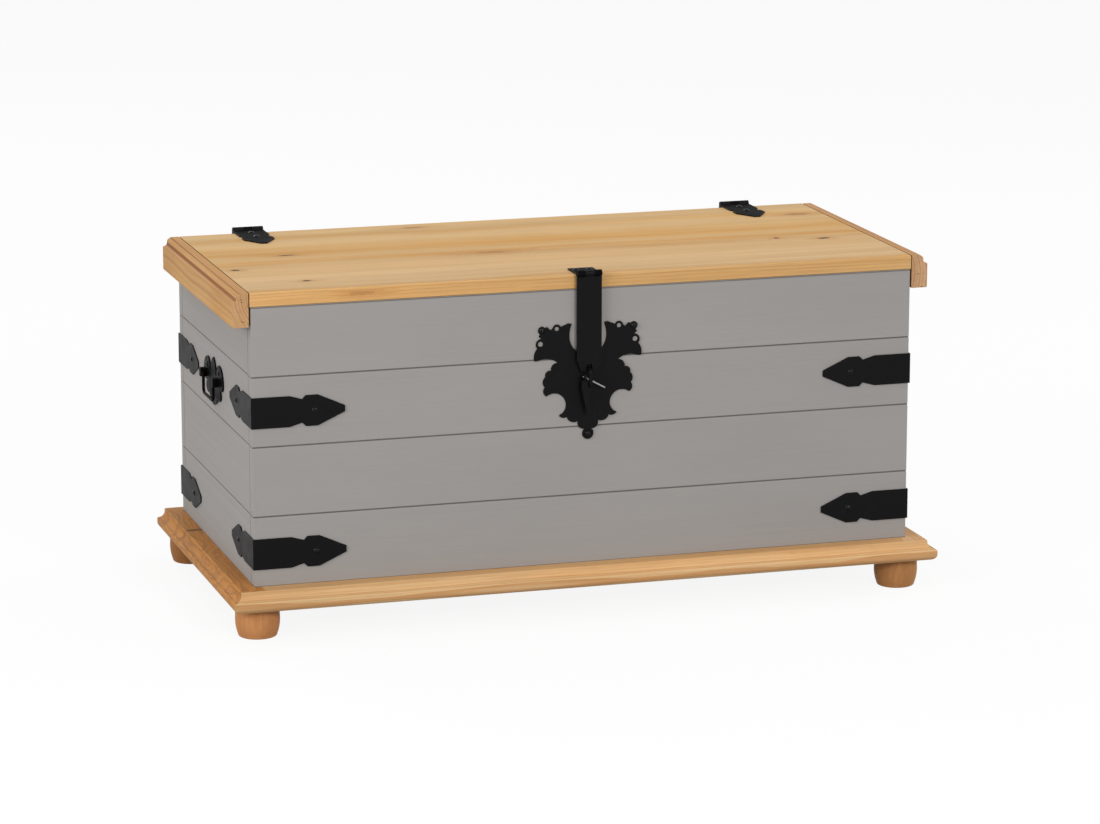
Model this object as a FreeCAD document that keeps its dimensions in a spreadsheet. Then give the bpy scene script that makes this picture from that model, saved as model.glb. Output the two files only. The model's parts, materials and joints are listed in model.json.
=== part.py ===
import FreeCAD, Part
import os
import re
import Sketcher
from FreeCAD import Placement, Rotation, Vector

# Lidded pine chest: painted tongue-and-groove walls on a moulded plinth board that is also the floor,
# turned bun feet, a clear pine lid with end battens, and black iron straps, hinges, hasp and bail handles.
# The frame's origin is the middle of the footprint on the floor: X to the right, Y to the rear, Z up.

doc = FreeCAD.newDocument("Chest")

# Driving dimensions, in millimetres apart from counts and angles
SIZES = {
    # walls
    "body_width": 930,
    "body_depth": 450,
    "board_height": 95,
    "board_count": 4,
    "board_thickness": 20,
    "board_bevel": 1.6,
    "tongue_height": 6,
    "tongue_thickness": 6,
    "tongue_clearance": 0.2,
    "post_width": 28,
    "post_drop": 6,
    # plinth board
    "plinth_overhang": 35,
    "plinth_rear": 16,
    "plinth_fillet": 3.5,
    "plinth_lip": 1.8,
    "plinth_cove": 9,
    "plinth_nose": 2,
    "plinth_band": 4.5,
    "plinth_round": 9,
    # feet
    "foot_diameter": 60,
    "foot_base_diameter": 53,
    "foot_height": 43,
    "foot_straight": 14,
    "foot_swell_radius": 60,
    "foot_edge": 3,
    "foot_inset_x": 7,
    "foot_inset_y": 17,
    "tenon_diameter": 24,
    "tenon_length": 18,
    "tenon_clearance": 0.1,
    # lid
    "lid_thickness": 19.5,
    "lid_rest_gap": 0.2,
    "lid_end_gap": 2.5,
    "lid_rear_setback": 16,
    "lid_board_count": 4,
    "lid_edge_bevel": 1.2,
    "batten_width": 23,
    "batten_height": 46,
    "batten_gap": 1.2,
    "batten_fillet": 1.2,
    "batten_ovolo": 5,
    "batten_cove": 5,
    "batten_lip": 1,
    "batten_edge": 2,
    "dowel_diameter": 8,
    "dowel_in_batten": 12,
    "dowel_in_board": 18,
    # iron corner straps
    "strap_width": 42,
    "strap_length": 126.5,
    "strap_thickness": 2,
    "strap_upper_drop": 0.4,
    "strap_lower_drop": 3,
    "strap_right_lift": 4.3,
    # lid hinges
    "hinge_inset": 100,
    "hinge_width": 44,
    "hinge_length": 103,
    "hinge_thickness": 2,
    "hinge_barrel": 9,
    "hinge_pin": 4,
    "hinge_axis_rise": 2,
    "knuckle_clearance": 0.3,
    "running_clearance": 0.05,
    # hasp
    "hasp_width": 35,
    "hasp_length": 134,
    "hasp_thickness": 3,
    "hasp_leaf_length": 36,
    "hasp_barrel": 9,
    "hasp_pin": 3.6,
    "hasp_standoff": 6.5,
    "hasp_taper": 15,
    "hasp_end_width": 22,
    "hasp_notch_width": 8.4,
    "hasp_notch_depth": 9.5,
    "hasp_notch_clearance": 4.7,
    # ornamental plate behind the hasp
    "plate_width": 151,
    "plate_height": 161.6,
    "plate_thickness": 2,
    "plate_staple_height": 87,
    "plate_ring_upper": 3.1,
    "plate_ring_lower": 3.6,
    # staple, its pin and the peg that hangs on the pin
    "staple_rod": 5,
    "staple_reach": 15,
    "staple_span": 22,
    "staple_bend": 5,
    "staple_root": 12,
    "latch_pin_diameter": 2.4,
    "latch_pin_length": 36,
    "latch_pin_tilt": 29,
    "latch_pin_gap": 0.2,
    "latch_pin_drop": 3,
    "peg_side_gap": 0.5,
    "peg_thickness": 4,
    "peg_width": 9,
    "peg_tip_width": 4,
    "peg_length": 50,
    "peg_lean": 5,
    "peg_eye_wall": 2.5,
    "peg_eye_width": 3,
    "peg_eye_sag": 0.3,
    "peg_eye_clearance": 0.2,
    # bail handles on the ends
    "handle_length": 116,
    "handle_height": 72,
    "handle_thickness": 2.5,
    "post_spacing": 76,
    "post_block": 12,
    "post_block_width": 8.5,
    "post_end_wall": 1.3,
    "post_rise": 3.4,
    "bail_rod": 4.2,
    "bail_leg_gap": 1.2,
    "bail_drop": 27.2,
    "bail_corner": 3,
    "bail_bend": 7,
    "bail_axis_reach": 9.4,
    "bail_root": 6,
    "handle_screw_spacing": 70,
    "handle_screw_rise": 15.2,
    # screws and nails
    "screw_head": 9,
    "screw_head_rise": 2.2,
    "screw_shank": 4,
    "screw_length": 14,
    "screw_clearance": 0.2,
    "drill_clearance": 0.05,
    "nail_head": 9.4,
    "nail_head_rise": 3.2,
    "nail_shank": 3,
    "nail_length": 14,
    "cut_overrun": 5,
}

# Sizes that follow from the driving ones
DERIVED = {
    "body_height": "board_height * board_count",
    "plinth_thickness": "plinth_round + plinth_band + plinth_nose + plinth_cove + plinth_fillet",
    "floor_height": "foot_height + plinth_thickness",
    "rim_height": "floor_height + body_height",
    "lid_underside": "rim_height + lid_rest_gap",
    "lid_top": "lid_underside + lid_thickness",
    "half_width": "body_width / 2",
    "plinth_depth": "body_depth + plinth_overhang + plinth_rear",
    "front_face": "plinth_overhang - plinth_depth / 2",
    "back_face": "front_face + body_depth",
    "middle_depth": "front_face + body_depth / 2",
    "side_length": "body_depth - 2 * board_thickness",
    "batten_face": "half_width + lid_end_gap",
    "dowel_length": "dowel_in_batten + batten_gap + dowel_in_board",
    "lid_length": "2 * (batten_face - batten_gap)",
    "lid_depth": "body_depth - lid_rear_setback",
    "lid_board_width": "lid_depth / lid_board_count",
    "batten_flat": "batten_width - batten_ovolo - batten_cove - batten_lip",
    "batten_shoulder": "batten_fillet + batten_ovolo",
    "batten_drop": "batten_shoulder + batten_fillet + batten_cove",
    "hinge_axis_y": "back_face + hinge_thickness - hinge_barrel / 2",
    "hinge_axis_z": "lid_top + hinge_axis_rise",
    "hasp_axis_y": "front_face - hasp_standoff",
    "hasp_axis_z": "lid_top + hinge_axis_rise",
    "hasp_end_z": "hasp_axis_z - hasp_length",
    "staple_leg_z": "hasp_end_z + hasp_notch_depth - hasp_notch_clearance - staple_rod / 2",
    "staple_z": "staple_leg_z - staple_span / 2",
    "plate_base_z": "staple_z - plate_staple_height",
    "latch_pin_y": "front_face - staple_reach + staple_rod / 2 + latch_pin_gap + latch_pin_diameter / 2",
    "latch_pin_z": "staple_z - latch_pin_drop",
    "peg_offset": "staple_rod / 2 + peg_side_gap + peg_width / 2",
    "peg_axis_z": "latch_pin_z + peg_offset * tan(latch_pin_tilt * 1deg)",
    "pin_slant": "latch_pin_diameter / cos(latch_pin_tilt * 1deg)",
    "pin_climb": "peg_eye_width * tan(latch_pin_tilt * 1deg)",
    "peg_eye_bore": "pin_slant + pin_climb + 2 * (peg_eye_sag + peg_eye_clearance)",
    "peg_eye_diameter": "peg_eye_bore + 2 * peg_eye_wall",
    "strap_upper_z": "floor_height + 2.5 * board_height - strap_upper_drop",
    "strap_lower_z": "floor_height + 0.5 * board_height - strap_lower_drop",
    "post_reach": "bail_axis_reach + bail_rod / 2 + post_end_wall",
    "bail_width": "post_spacing - post_block_width - 2 * bail_leg_gap - bail_rod",
    "bail_axis_x": "half_width + bail_axis_reach",
    "handle_z": "floor_height + 2.5 * board_height",
    "bail_axis_z": "handle_z + post_rise",
}

sizes = doc.addObject("Spreadsheet::Sheet", "Sizes")
for row, (alias, number) in enumerate(SIZES.items(), start=1):
    sizes.set(f"A{row}", alias)
    sizes.set(f"B{row}", str(number))
    sizes.setAlias(f"B{row}", alias)
doc.recompute()


def bound(text):
    """Writes an expression in plain alias names as one that reads the two sheets."""
    def sheet_name(match):
        word = match.group(0)
        if word in SIZES:
            return f"Sizes.{word}"
        if word in DERIVED:
            return f"Derived.{word}"
        return word
    return re.sub(r"[a-z][a-z_]+", sheet_name, text)


derived = doc.addObject("Spreadsheet::Sheet", "Derived")
for row, (alias, formula) in enumerate(DERIVED.items(), start=1):
    derived.set(f"A{row}", alias)
    derived.set(f"B{row}", "=" + bound(formula).replace("Derived.", ""))
    derived.setAlias(f"B{row}", alias)
doc.recompute()


def value(text):
    """The present number of an expression."""
    return float(sizes.evalExpression(bound(text)))


def place(item, x="0", y="0", z="0", turn=0, axis=(0, 0, 1)):
    """Sets a turn about an axis and binds the position to expressions."""
    item.Placement = Placement(Vector(value(x), value(y), value(z)), Rotation(Vector(*axis), turn))
    for name, text in zip("xyz", (x, y, z)):
        item.setExpression(f"Placement.Base.{name}", bound(text))
    return item


nodes = []


def keep(item, label):
    """Marks an object as a sub-part under its own label."""
    item.Label = label
    nodes.append(item)
    return item


def new_body(name):
    return doc.addObject("PartDesign::Body", name)


def origin_plane(body, role):
    return next(feature for feature in body.Origin.OriginFeatures if feature.Role == role)


def pin_point(sketch, geometry, vertex, x, y):
    """Holds one vertex of a sketch at two expressions."""
    for kind, axis_line, text in (("DistanceX", -2, x), ("DistanceY", -1, y)):
        if text == "0":
            sketch.addConstraint(Sketcher.Constraint("PointOnObject", geometry, vertex, axis_line))
            continue
        held = Sketcher.Constraint(kind, -1, 1, geometry, vertex, value(text))
        index = sketch.addConstraint(held)
        sketch.setExpression(f"Constraints[{index}]", bound(text))


def arc_middle(start, end, radius, bulge):
    """The middle of the shorter arc between two points, left of the chord when bulge is positive."""
    chord = end - start
    middle = (start + end) / 2
    left = Vector(-chord.y, chord.x, 0).normalize()
    sagitta = radius - max(radius ** 2 - (chord.Length / 2) ** 2, 0) ** 0.5
    return middle + left * sagitta * bulge


def outline(body, name, role, path, holes=()):
    """A closed sketch. Each path entry is (x, y) or (x, y, radius, bulge) for an arc that ends there."""
    sketch = body.newObject("Sketcher::SketchObject", name)
    sketch.AttachmentSupport = [(origin_plane(body, role), "")]
    sketch.MapMode = "FlatFace"
    points = [Vector(value(entry[0]), value(entry[1]), 0) for entry in path]
    ends = []
    for index, entry in enumerate(path):
        start, end = points[index - 1], points[index]
        if len(entry) == 2:
            geometry = sketch.addGeometry(Part.LineSegment(start, end), False)
            ends.append((geometry, 1, 2))
            continue
        middle = arc_middle(start, end, value(entry[2]), entry[3])
        clockwise = entry[3] > 0
        arc = Part.Arc(end, middle, start) if clockwise else Part.Arc(start, middle, end)
        geometry = sketch.addGeometry(arc, False)
        ends.append((geometry, 2, 1) if clockwise else (geometry, 1, 2))
        index_radius = sketch.addConstraint(Sketcher.Constraint("Radius", geometry, value(entry[2])))
        sketch.setExpression(f"Constraints[{index_radius}]", bound(entry[2]))
    for index, entry in enumerate(path):
        geometry, first, last = ends[index]
        following, next_first, next_last = ends[(index + 1) % len(path)]
        sketch.addConstraint(Sketcher.Constraint("Coincident", geometry, last, following, next_first))
        pin_point(sketch, geometry, last, entry[0], entry[1])
    for x, y, radius in holes:
        centre = Vector(value(x), value(y), 0)
        hole = sketch.addGeometry(Part.Circle(centre, Vector(0, 0, 1), value(radius)), False)
        pin_point(sketch, hole, 3, x, y)
        index_radius = sketch.addConstraint(Sketcher.Constraint("Radius", hole, value(radius)))
        sketch.setExpression(f"Constraints[{index_radius}]", bound(radius))
    sketch.Visibility = False
    return sketch


def pad(body, sketch, length, reverse=False):
    feature = body.newObject("PartDesign::Pad", sketch.Name + "_pad")
    feature.Profile = sketch
    feature.setExpression("Length", bound(length))
    feature.Reversed = reverse
    body.Tip = feature
    return feature


def revolve(body, sketch):
    """Turns a half section in the XZ plane about the body's own Z axis."""
    feature = body.newObject("PartDesign::Revolution", sketch.Name + "_turned")
    feature.Profile = sketch
    feature.ReferenceAxis = (sketch, ["V_Axis"])
    feature.Angle = 360
    body.Tip = feature
    return feature


def cylinder(name, radius, length, x="0", y="0", z="0", turn=0, axis=(0, 0, 1)):
    item = doc.addObject("Part::Cylinder", name)
    item.setExpression("Radius", bound(radius))
    item.setExpression("Height", bound(length))
    return place(item, x, y, z, turn, axis)


def box(name, length, width, height, x="0", y="0", z="0"):
    item = doc.addObject("Part::Box", name)
    item.setExpression("Length", bound(length))
    item.setExpression("Width", bound(width))
    item.setExpression("Height", bound(height))
    return place(item, x, y, z)


def fuse(name, items):
    item = doc.addObject("Part::MultiFuse", name)
    item.Shapes = items
    item.Refine = True
    return item


def cut(name, base, tool):
    item = doc.addObject("Part::Cut", name)
    item.Base = base
    item.Tool = tool
    return item


def group(name, items):
    item = doc.addObject("Part::Compound", name)
    item.Links = items
    return item


def solid(name, shape, position=Vector(), rotation=Rotation()):
    item = doc.addObject("Part::Feature", name)
    item.Shape = shape
    item.Placement = Placement(position, rotation)
    return item


ALONG_X = (0, 1, 0)
ALONG_Y = (1, 0, 0)
QUARTER = 90


# Where the fasteners sit: each place has its head's underside at the origin and its head towards +Z
LEAF_SCREW_SHARE = 0.676
LID_LEAF_SCREW_SHARES = [0.22, 0.53]
BACK_LEAF_SCREW_SHARES = [0.42, 0.676]
HASP_SCREW_ACROSS_SHARE = 0.27
HASP_SCREW_ALONG_SHARE = 0.667
PLATE_SIDE_NAIL_SHARES = (0.859, 0.954)
PLATE_BOTTOM_NAIL_SHARES = (0.0, 0.050)
FACING_FRONT = Rotation(Vector(1, 0, 0), Vector(0, 0, 1), Vector(0, -1, 0), "XYZ")
FACING_BACK = Rotation(Vector(-1, 0, 0), Vector(0, 0, 1), Vector(0, 1, 0), "XYZ")
FACING_LEFT = Rotation(Vector(0, -1, 0), Vector(0, 0, 1), Vector(-1, 0, 0), "XYZ")
FACING_RIGHT = Rotation(Vector(0, 1, 0), Vector(0, 0, 1), Vector(1, 0, 0), "XYZ")
FACING_UP = Rotation()


def strap_corners():
    """Each corner with its turn and how much higher its straps were fixed by hand."""
    return [
        ("front_left", "0 - half_width", "front_face", 0, "0"),
        ("front_right", "half_width", "front_face", QUARTER, "strap_right_lift"),
        ("back_right", "half_width", "back_face", 2 * QUARTER, "0"),
        ("back_left", "0 - half_width", "back_face", -QUARTER, "0"),
    ]


def hinge_places():
    return (("left", "0 - half_width + hinge_inset"), ("right", "half_width - hinge_inset"))


def spot(x, y, z, rotation):
    return Placement(Vector(value(x), value(y), value(z)), rotation)


def case_screw_places():
    along = value("strap_length") * LEAF_SCREW_SHARE
    out = -value("strap_thickness")
    leaves = [Placement(Vector(along, out, 0), FACING_FRONT), Placement(Vector(out, along, 0), FACING_LEFT)]
    places = []
    for level in ("strap_upper_z", "strap_lower_z"):
        for _, x, y, turn, lift in strap_corners():
            corner = spot(x, y, f"{level} + {lift}", Rotation(Vector(0, 0, 1), turn))
            places += [corner * leaf for leaf in leaves]
    for _, x in hinge_places():
        for share in BACK_LEAF_SCREW_SHARES:
            places.append(spot(x, "back_face + hinge_thickness",
                               f"hinge_axis_z - hinge_length * {share}", FACING_BACK))
    for side, rotation in (("0 -", FACING_LEFT), ("0 +", FACING_RIGHT)):
        for along in ("-", "+"):
            places.append(spot(f"{side} (half_width + handle_thickness)",
                               f"middle_depth {along} handle_screw_spacing / 2",
                               "handle_z + handle_screw_rise", rotation))
    return places


def lid_screw_places():
    top = "lid_top + hinge_thickness"
    places = []
    for _, x in hinge_places():
        for share in LID_LEAF_SCREW_SHARES:
            places.append(spot(x, f"hinge_axis_y - hinge_length * {share}", top, FACING_UP))
    for side in ("0 -", "0 +"):
        places.append(spot(f"{side} hasp_width * {HASP_SCREW_ACROSS_SHARE}",
                           f"front_face + hasp_leaf_length * {HASP_SCREW_ALONG_SHARE}", top, FACING_UP))
    return places


def plate_point(shares, side=1):
    return side * shares[0] * value("plate_width / 2"), shares[1] * value("plate_height")


def plate_nails():
    return [plate_point(PLATE_SIDE_NAIL_SHARES, 1), plate_point(PLATE_SIDE_NAIL_SHARES, -1),
            plate_point(PLATE_BOTTOM_NAIL_SHARES)]


def plate_origin():
    return Vector(0, value("front_face"), value("plate_base_z"))


def nail_places():
    out = value("plate_thickness")
    return [Placement(plate_origin() + FACING_FRONT.multVec(Vector(x, y, out)), FACING_FRONT)
            for x, y in plate_nails()]


def staple_leg_places():
    return [spot("0", "front_face", "staple_z + staple_span / 2", FACING_FRONT),
            spot("0", "front_face", "staple_z - staple_span / 2", FACING_FRONT)]


def drilled(places, diameter, depth):
    """The holes that shanks of one kind need, each a clearance wider and deeper than its shank."""
    clearance = value("drill_clearance")
    radius = value(diameter) / 2 + clearance
    length = value(depth) + clearance
    overrun = value("cut_overrun")
    bore = Part.makeCylinder(radius, length + overrun, Vector(0, 0, -length))
    return [bore.transformed(where.toMatrix()) for where in places]


def wall_holes():
    return (drilled(case_screw_places(), "screw_shank", "screw_length")
            + drilled(nail_places(), "nail_shank", "nail_length")
            + drilled(staple_leg_places(), "staple_rod", "staple_root"))


# Plinth board: the front moulding and the two end mouldings meet in mitres
def plinth_edge(outer):
    """The moulded edge on the sketch's negative side, from the underside to the top."""
    fillet_foot = "plinth_thickness - plinth_fillet"
    cove_foot = f"{fillet_foot} - plinth_cove"
    flat = f"{outer} + plinth_nose + plinth_cove"
    return [
        (f"{outer} + plinth_round", "0"),
        (outer, "plinth_round", "plinth_round", 1),
        (outer, f"{cove_foot} - plinth_nose"),
        (f"{outer} + plinth_nose", cove_foot, "plinth_nose", 1),
        (flat, fillet_foot, "plinth_cove", -1),
        (flat, "plinth_thickness - plinth_lip"),
        (f"{flat} + plinth_lip", "plinth_thickness", "plinth_lip", 1),
    ]


def mirrored(path):
    """The same edge on the sketch's positive side, drawn back down."""
    arcs = [entry[2:] for entry in path[1:]] + [()]
    turned = [(f"0 - ({entry[0]})", entry[1], *arc) for entry, arc in zip(path, arcs)]
    return turned[::-1]


def make_plinth():
    lengthways = new_body("plinth_lengthways")
    rear = [("plinth_depth / 2", "plinth_thickness"), ("plinth_depth / 2", "0")]
    section = plinth_edge("0 - plinth_depth / 2") + rear
    pad(lengthways, outline(lengthways, "plinth_front_section", "YZ_Plane", section),
        "body_width + 2 * plinth_overhang")
    place(lengthways, "0 - half_width - plinth_overhang", "0", "foot_height")
    crossways = new_body("plinth_crossways")
    left = plinth_edge("0 - half_width - plinth_overhang")
    pad(crossways, outline(crossways, "plinth_end_section", "XZ_Plane", left + mirrored(left)),
        "plinth_depth", reverse=True)
    place(crossways, "0", "0 - plinth_depth / 2", "foot_height")
    board = doc.addObject("Part::Common", "plinth_moulded")
    board.Base = lengthways
    board.Tool = crossways
    sockets = [
        cylinder(f"socket_{side}_{end}", "tenon_diameter / 2 + tenon_clearance",
                 "tenon_length + tenon_clearance + cut_overrun", x, y, "foot_height - cut_overrun")
        for side, end, x, y in foot_places()]
    return keep(cut("plinth_drilled", board, fuse("foot_sockets", sockets)), "plinth_board")


def foot_places():
    x = "(half_width - foot_inset_x)"
    return [
        ("front", "left", f"0 - {x}", "front_face + foot_inset_y"),
        ("front", "right", x, "front_face + foot_inset_y"),
        ("back", "left", f"0 - {x}", "back_face - foot_inset_y"),
        ("back", "right", x, "back_face - foot_inset_y"),
    ]


def make_feet():
    """Bun feet turned in one piece with the tenons that hold them in the plinth."""
    section = [
        ("0", "0"),
        ("foot_base_diameter / 2 - foot_edge", "0"),
        ("foot_base_diameter / 2", "foot_edge", "foot_edge", -1),
        ("foot_diameter / 2", "foot_height - foot_straight", "foot_swell_radius", -1),
        ("foot_diameter / 2", "foot_height - foot_edge"),
        ("foot_diameter / 2 - foot_edge", "foot_height", "foot_edge", -1),
        ("tenon_diameter / 2", "foot_height"),
        ("tenon_diameter / 2", "foot_height + tenon_length"),
        ("0", "foot_height + tenon_length"),
    ]
    for side, end, x, y in foot_places():
        body = new_body(f"foot_{side}_{end}")
        revolve(body, outline(body, f"foot_section_{side}_{end}", "XZ_Plane", section))
        keep(place(body, x, y), f"bun_foot_{side}_{end}")


def wall_section(lowest, highest):
    """A board's section, outer face at zero: groove and bevel below, tongue and bevel above."""
    groove_near = "board_thickness / 2 - tongue_thickness / 2 - tongue_clearance"
    groove_far = "board_thickness / 2 + tongue_thickness / 2 + tongue_clearance"
    tongue_near = "board_thickness / 2 - tongue_thickness / 2"
    tongue_far = "board_thickness / 2 + tongue_thickness / 2"
    groove_top = "tongue_height + tongue_clearance"
    tongue_top = "board_height + tongue_height"
    below = [("0", "0")] if lowest else [
        ("0", "board_bevel"), ("board_bevel", "0"), (groove_near, "0"), (groove_near, groove_top),
        (groove_far, groove_top), (groove_far, "0")]
    above = [("0", "board_height")] if highest else [
        (tongue_far, "board_height"), (tongue_far, tongue_top), (tongue_near, tongue_top),
        (tongue_near, "board_height"), ("board_bevel", "board_height"), ("0", "board_height - board_bevel")]
    return below + [("board_thickness", "0"), ("board_thickness", "board_height")] + above


def make_walls():
    """Four walls of stacked boards, numbered from the top; front and back lap the ends of the sides."""
    walls = {
        "front": ("body_width", "0 - half_width", "front_face", 0),
        "back": ("body_width", "half_width", "back_face", 2 * QUARTER),
        "left": ("side_length", "0 - half_width", "back_face - board_thickness", -QUARTER),
        "right": ("side_length", "half_width", "front_face + board_thickness", QUARTER),
    }
    count = int(SIZES["board_count"])
    drill = solid("wall_drill", Part.Compound(wall_holes()))
    for wall, (length, x, y, turn) in walls.items():
        for row in range(count):
            label = f"{wall}_board_{count - row}"
            body = new_body(label + "_body")
            section = wall_section(row == 0, row == count - 1)
            pad(body, outline(body, label + "_section", "YZ_Plane", section), length)
            place(body, x, y, f"floor_height + {row} * board_height", turn)
            keep(cut(label + "_drilled", body, drill), label)


def make_corner_posts():
    """Square posts in the inside corners, which the boards are fixed to."""
    near = "front_face + board_thickness"
    far = "back_face - board_thickness - post_width"
    left = "0 - half_width + board_thickness"
    right = "half_width - board_thickness - post_width"
    posts = [
        box(f"post_{number}", "post_width", "post_width", "body_height - post_drop", x, y, "floor_height")
        for number, (x, y) in enumerate([(left, near), (right, near), (left, far), (right, far)], start=1)]
    keep(group("corner_post_set", posts), "corner_posts")


def dowel_bores(end, start, row):
    """A dowel across the joint of one board and one batten, and the hole that both are drilled with."""
    y = f"front_face + ({row} + 0.5) * lid_board_width"
    z = "lid_underside + lid_thickness / 2"
    dowel = cylinder(f"dowel_{end}_{row + 1}", "dowel_diameter / 2", "dowel_length",
                     start, y, z, QUARTER, ALONG_X)
    hole = cylinder(f"dowel_hole_{end}_{row + 1}", "dowel_diameter / 2 + drill_clearance",
                    "dowel_length + 2 * drill_clearance", f"{start} - drill_clearance", y, z, QUARTER, ALONG_X)
    return dowel, hole


def make_lid():
    """Edge-glued boards, numbered from the front, doweled between two moulded battens that pass the rim."""
    count = int(SIZES["lid_board_count"])
    drill = solid("lid_drill", Part.Compound(drilled(lid_screw_places(), "screw_shank", "screw_length")))
    left = [dowel_bores("left", "0 - batten_face - dowel_in_batten", row) for row in range(count)]
    right = [dowel_bores("right", "batten_face + dowel_in_batten - dowel_length", row) for row in range(count)]
    for row in range(count):
        label = f"lid_board_{row + 1}"
        body = new_body(label + "_body")
        front = [("0", "0"), ("0", "lid_thickness")]
        if row == 0:
            front = [("lid_edge_bevel", "0"), ("0", "lid_edge_bevel"),
                     ("0", "lid_thickness - lid_edge_bevel"), ("lid_edge_bevel", "lid_thickness")]
        rear = [("lid_board_width", "lid_thickness"), ("lid_board_width", "0")]
        pad(body, outline(body, label + "_section", "YZ_Plane", front + rear), "lid_length")
        place(body, "0 - lid_length / 2", f"front_face + {row} * lid_board_width", "lid_underside")
        doweled = cut(label + "_doweled", body, fuse(label + "_holes", [left[row][1], right[row][1]]))
        keep(cut(label + "_drilled", doweled, drill), label)
    foot = "batten_height - batten_drop"
    section = [
        ("0", "0"),
        ("0", "batten_height"),
        ("batten_flat", "batten_height"),
        ("batten_flat", "batten_height - batten_fillet"),
        ("batten_flat + batten_ovolo", "batten_height - batten_shoulder", "batten_ovolo", 1),
        ("batten_flat + batten_ovolo", "batten_height - batten_shoulder - batten_fillet"),
        ("batten_width - batten_lip", foot, "batten_cove", -1),
        ("batten_width", foot),
        ("batten_width", "batten_edge"),
        ("batten_width - batten_edge", "0", "batten_edge", 1),
    ]
    for end, x, y, turn, bores in (("right", "batten_face", "front_face", 0, right),
                                   ("left", "0 - batten_face", "front_face + lid_depth", 2 * QUARTER, left)):
        body = new_body(f"batten_{end}_body")
        pad(body, outline(body, f"batten_{end}_section", "XZ_Plane", section), "lid_depth", reverse=True)
        place(body, x, y, "lid_top - batten_height", turn)
        holes = fuse(f"batten_{end}_holes", [hole for _, hole in bores])
        keep(cut(f"batten_{end}_drilled", body, holes), f"lid_batten_{end}")
    keep(group("dowel_set", [dowel for dowel, _ in left + right]), "batten_dowels")


# Forged leaf with an arrowhead: each entry is a share of the leaf's length and of its half width
LEAF_OUTLINE_SHARES = [(0.40, 1.0), (0.537, 0.76), (0.577, 1.0), (0.707, 1.0), (1.0, 0.20)]
SCREW_HOLE = "screw_shank / 2 + screw_clearance"


def leaf_path(start, length, half_width):
    """The outline of a leaf that runs along the sketch's first axis."""
    upper = [(f"{length} * {along}", f"{half_width} * {across}") for along, across in LEAF_OUTLINE_SHARES]
    lower = [(x, f"0 - {y}") for x, y in reversed(upper)]
    return [(start, f"0 - {half_width}"), (start, half_width)] + upper + lower


def make_straps():
    """Two straps wrap each corner; a quarter turn takes one corner's strap to the next."""
    hole = [(f"strap_length * {LEAF_SCREW_SHARE}", "0", SCREW_HOLE)]
    path = leaf_path("0 - strap_thickness", "strap_length", "strap_width / 2")
    for level, z in (("upper", "strap_upper_z"), ("lower", "strap_lower_z")):
        for corner, x, y, turn, lift in strap_corners():
            label = f"{level}_strap_{corner}"
            body = new_body(label + "_body")
            pad(body, outline(body, label + "_first", "XZ_Plane", path, hole), "strap_thickness")
            pad(body, outline(body, label + "_second", "YZ_Plane", path, hole), "strap_thickness", reverse=True)
            keep(place(body, x, y, f"{z} + {lift}", turn), label)


def rolled_leaf(label, path, holes, thickness, offset, barrel, pin, width, knuckles):
    """A leaf in its own frame: the pin along Y at the origin, the plate along X above a Z offset."""
    body = new_body(label + "_plate")
    pad(body, outline(body, label + "_outline", "XY_Plane", path, holes), thickness)
    place(body, "0", "0", offset)
    pieces = [body]
    pitch = f"{width} / 3"
    length = f"{pitch} - knuckle_clearance"
    for number in knuckles:
        low = f"({number} - 1.5) * {pitch} + knuckle_clearance / 2"
        pieces.append(cylinder(f"{label}_knuckle_{number}", f"{barrel} / 2", length,
                               "0", f"{low} + {length}", "0", QUARTER, ALONG_Y))
        pieces.append(box(f"{label}_web_{number}", knuckle_edge(barrel), length, thickness, "0", low, offset))
    bore = cylinder(label + "_bore", f"{pin} / 2 + running_clearance", f"{width} + 2 * cut_overrun",
                    "0", f"{width} / 2 + cut_overrun", "0", QUARTER, ALONG_Y)
    return cut(label + "_bored", fuse(label + "_rolled", pieces), bore)


def knuckle_edge(barrel):
    """Where a leaf's plate begins, clear of the other leaf's knuckles."""
    return f"{barrel} / 2 + knuckle_clearance"


FORWARD_LEAF = Rotation(Vector(0, 0, 1), -QUARTER)
REARWARD_LEAF = Rotation(Vector(0, 0, 1), QUARTER)
BACK_LEAF = Rotation(Vector(0, 0, -1), Vector(-1, 0, 0), Vector(0, 1, 0), "XYZ")
FRONT_LEAF = Rotation(Vector(0, 0, -1), Vector(1, 0, 0), Vector(0, -1, 0), "XYZ")


def hang(item, rotation, x, y, z):
    """Turns a leaf from its own frame and binds its pin to a place."""
    place(item, x, y, z)
    item.Placement.Rotation = rotation
    return item


def make_hinges():
    """Strap hinges: the lid leaf points forward on the lid, the back leaf points down the rear face."""
    path = leaf_path(knuckle_edge("hinge_barrel"), "hinge_length", "hinge_width / 2")
    kinds = (
        ("lid", (1,), "0 - hinge_axis_rise", LID_LEAF_SCREW_SHARES, FORWARD_LEAF),
        ("back", (0, 2), "hinge_barrel / 2 - hinge_thickness", BACK_LEAF_SCREW_SHARES, BACK_LEAF),
    )
    pins = []
    for side, x in hinge_places():
        for kind, knuckles, offset, screws, rotation in kinds:
            label = f"hinge_{kind}_leaf_{side}"
            holes = [(f"hinge_length * {share}", "0", SCREW_HOLE) for share in screws]
            leaf = rolled_leaf(label, path, holes, "hinge_thickness", offset,
                               "hinge_barrel", "hinge_pin", "hinge_width", knuckles)
            keep(hang(leaf, rotation, x, "hinge_axis_y", "hinge_axis_z"), label)
        pins.append(cylinder(f"hinge_pin_{side}", "hinge_pin / 2", "hinge_width",
                             f"{x} - hinge_width / 2", "hinge_axis_y", "hinge_axis_z", QUARTER, ALONG_X))
    keep(group("hinge_pin_set", pins), "hinge_pins")


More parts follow.
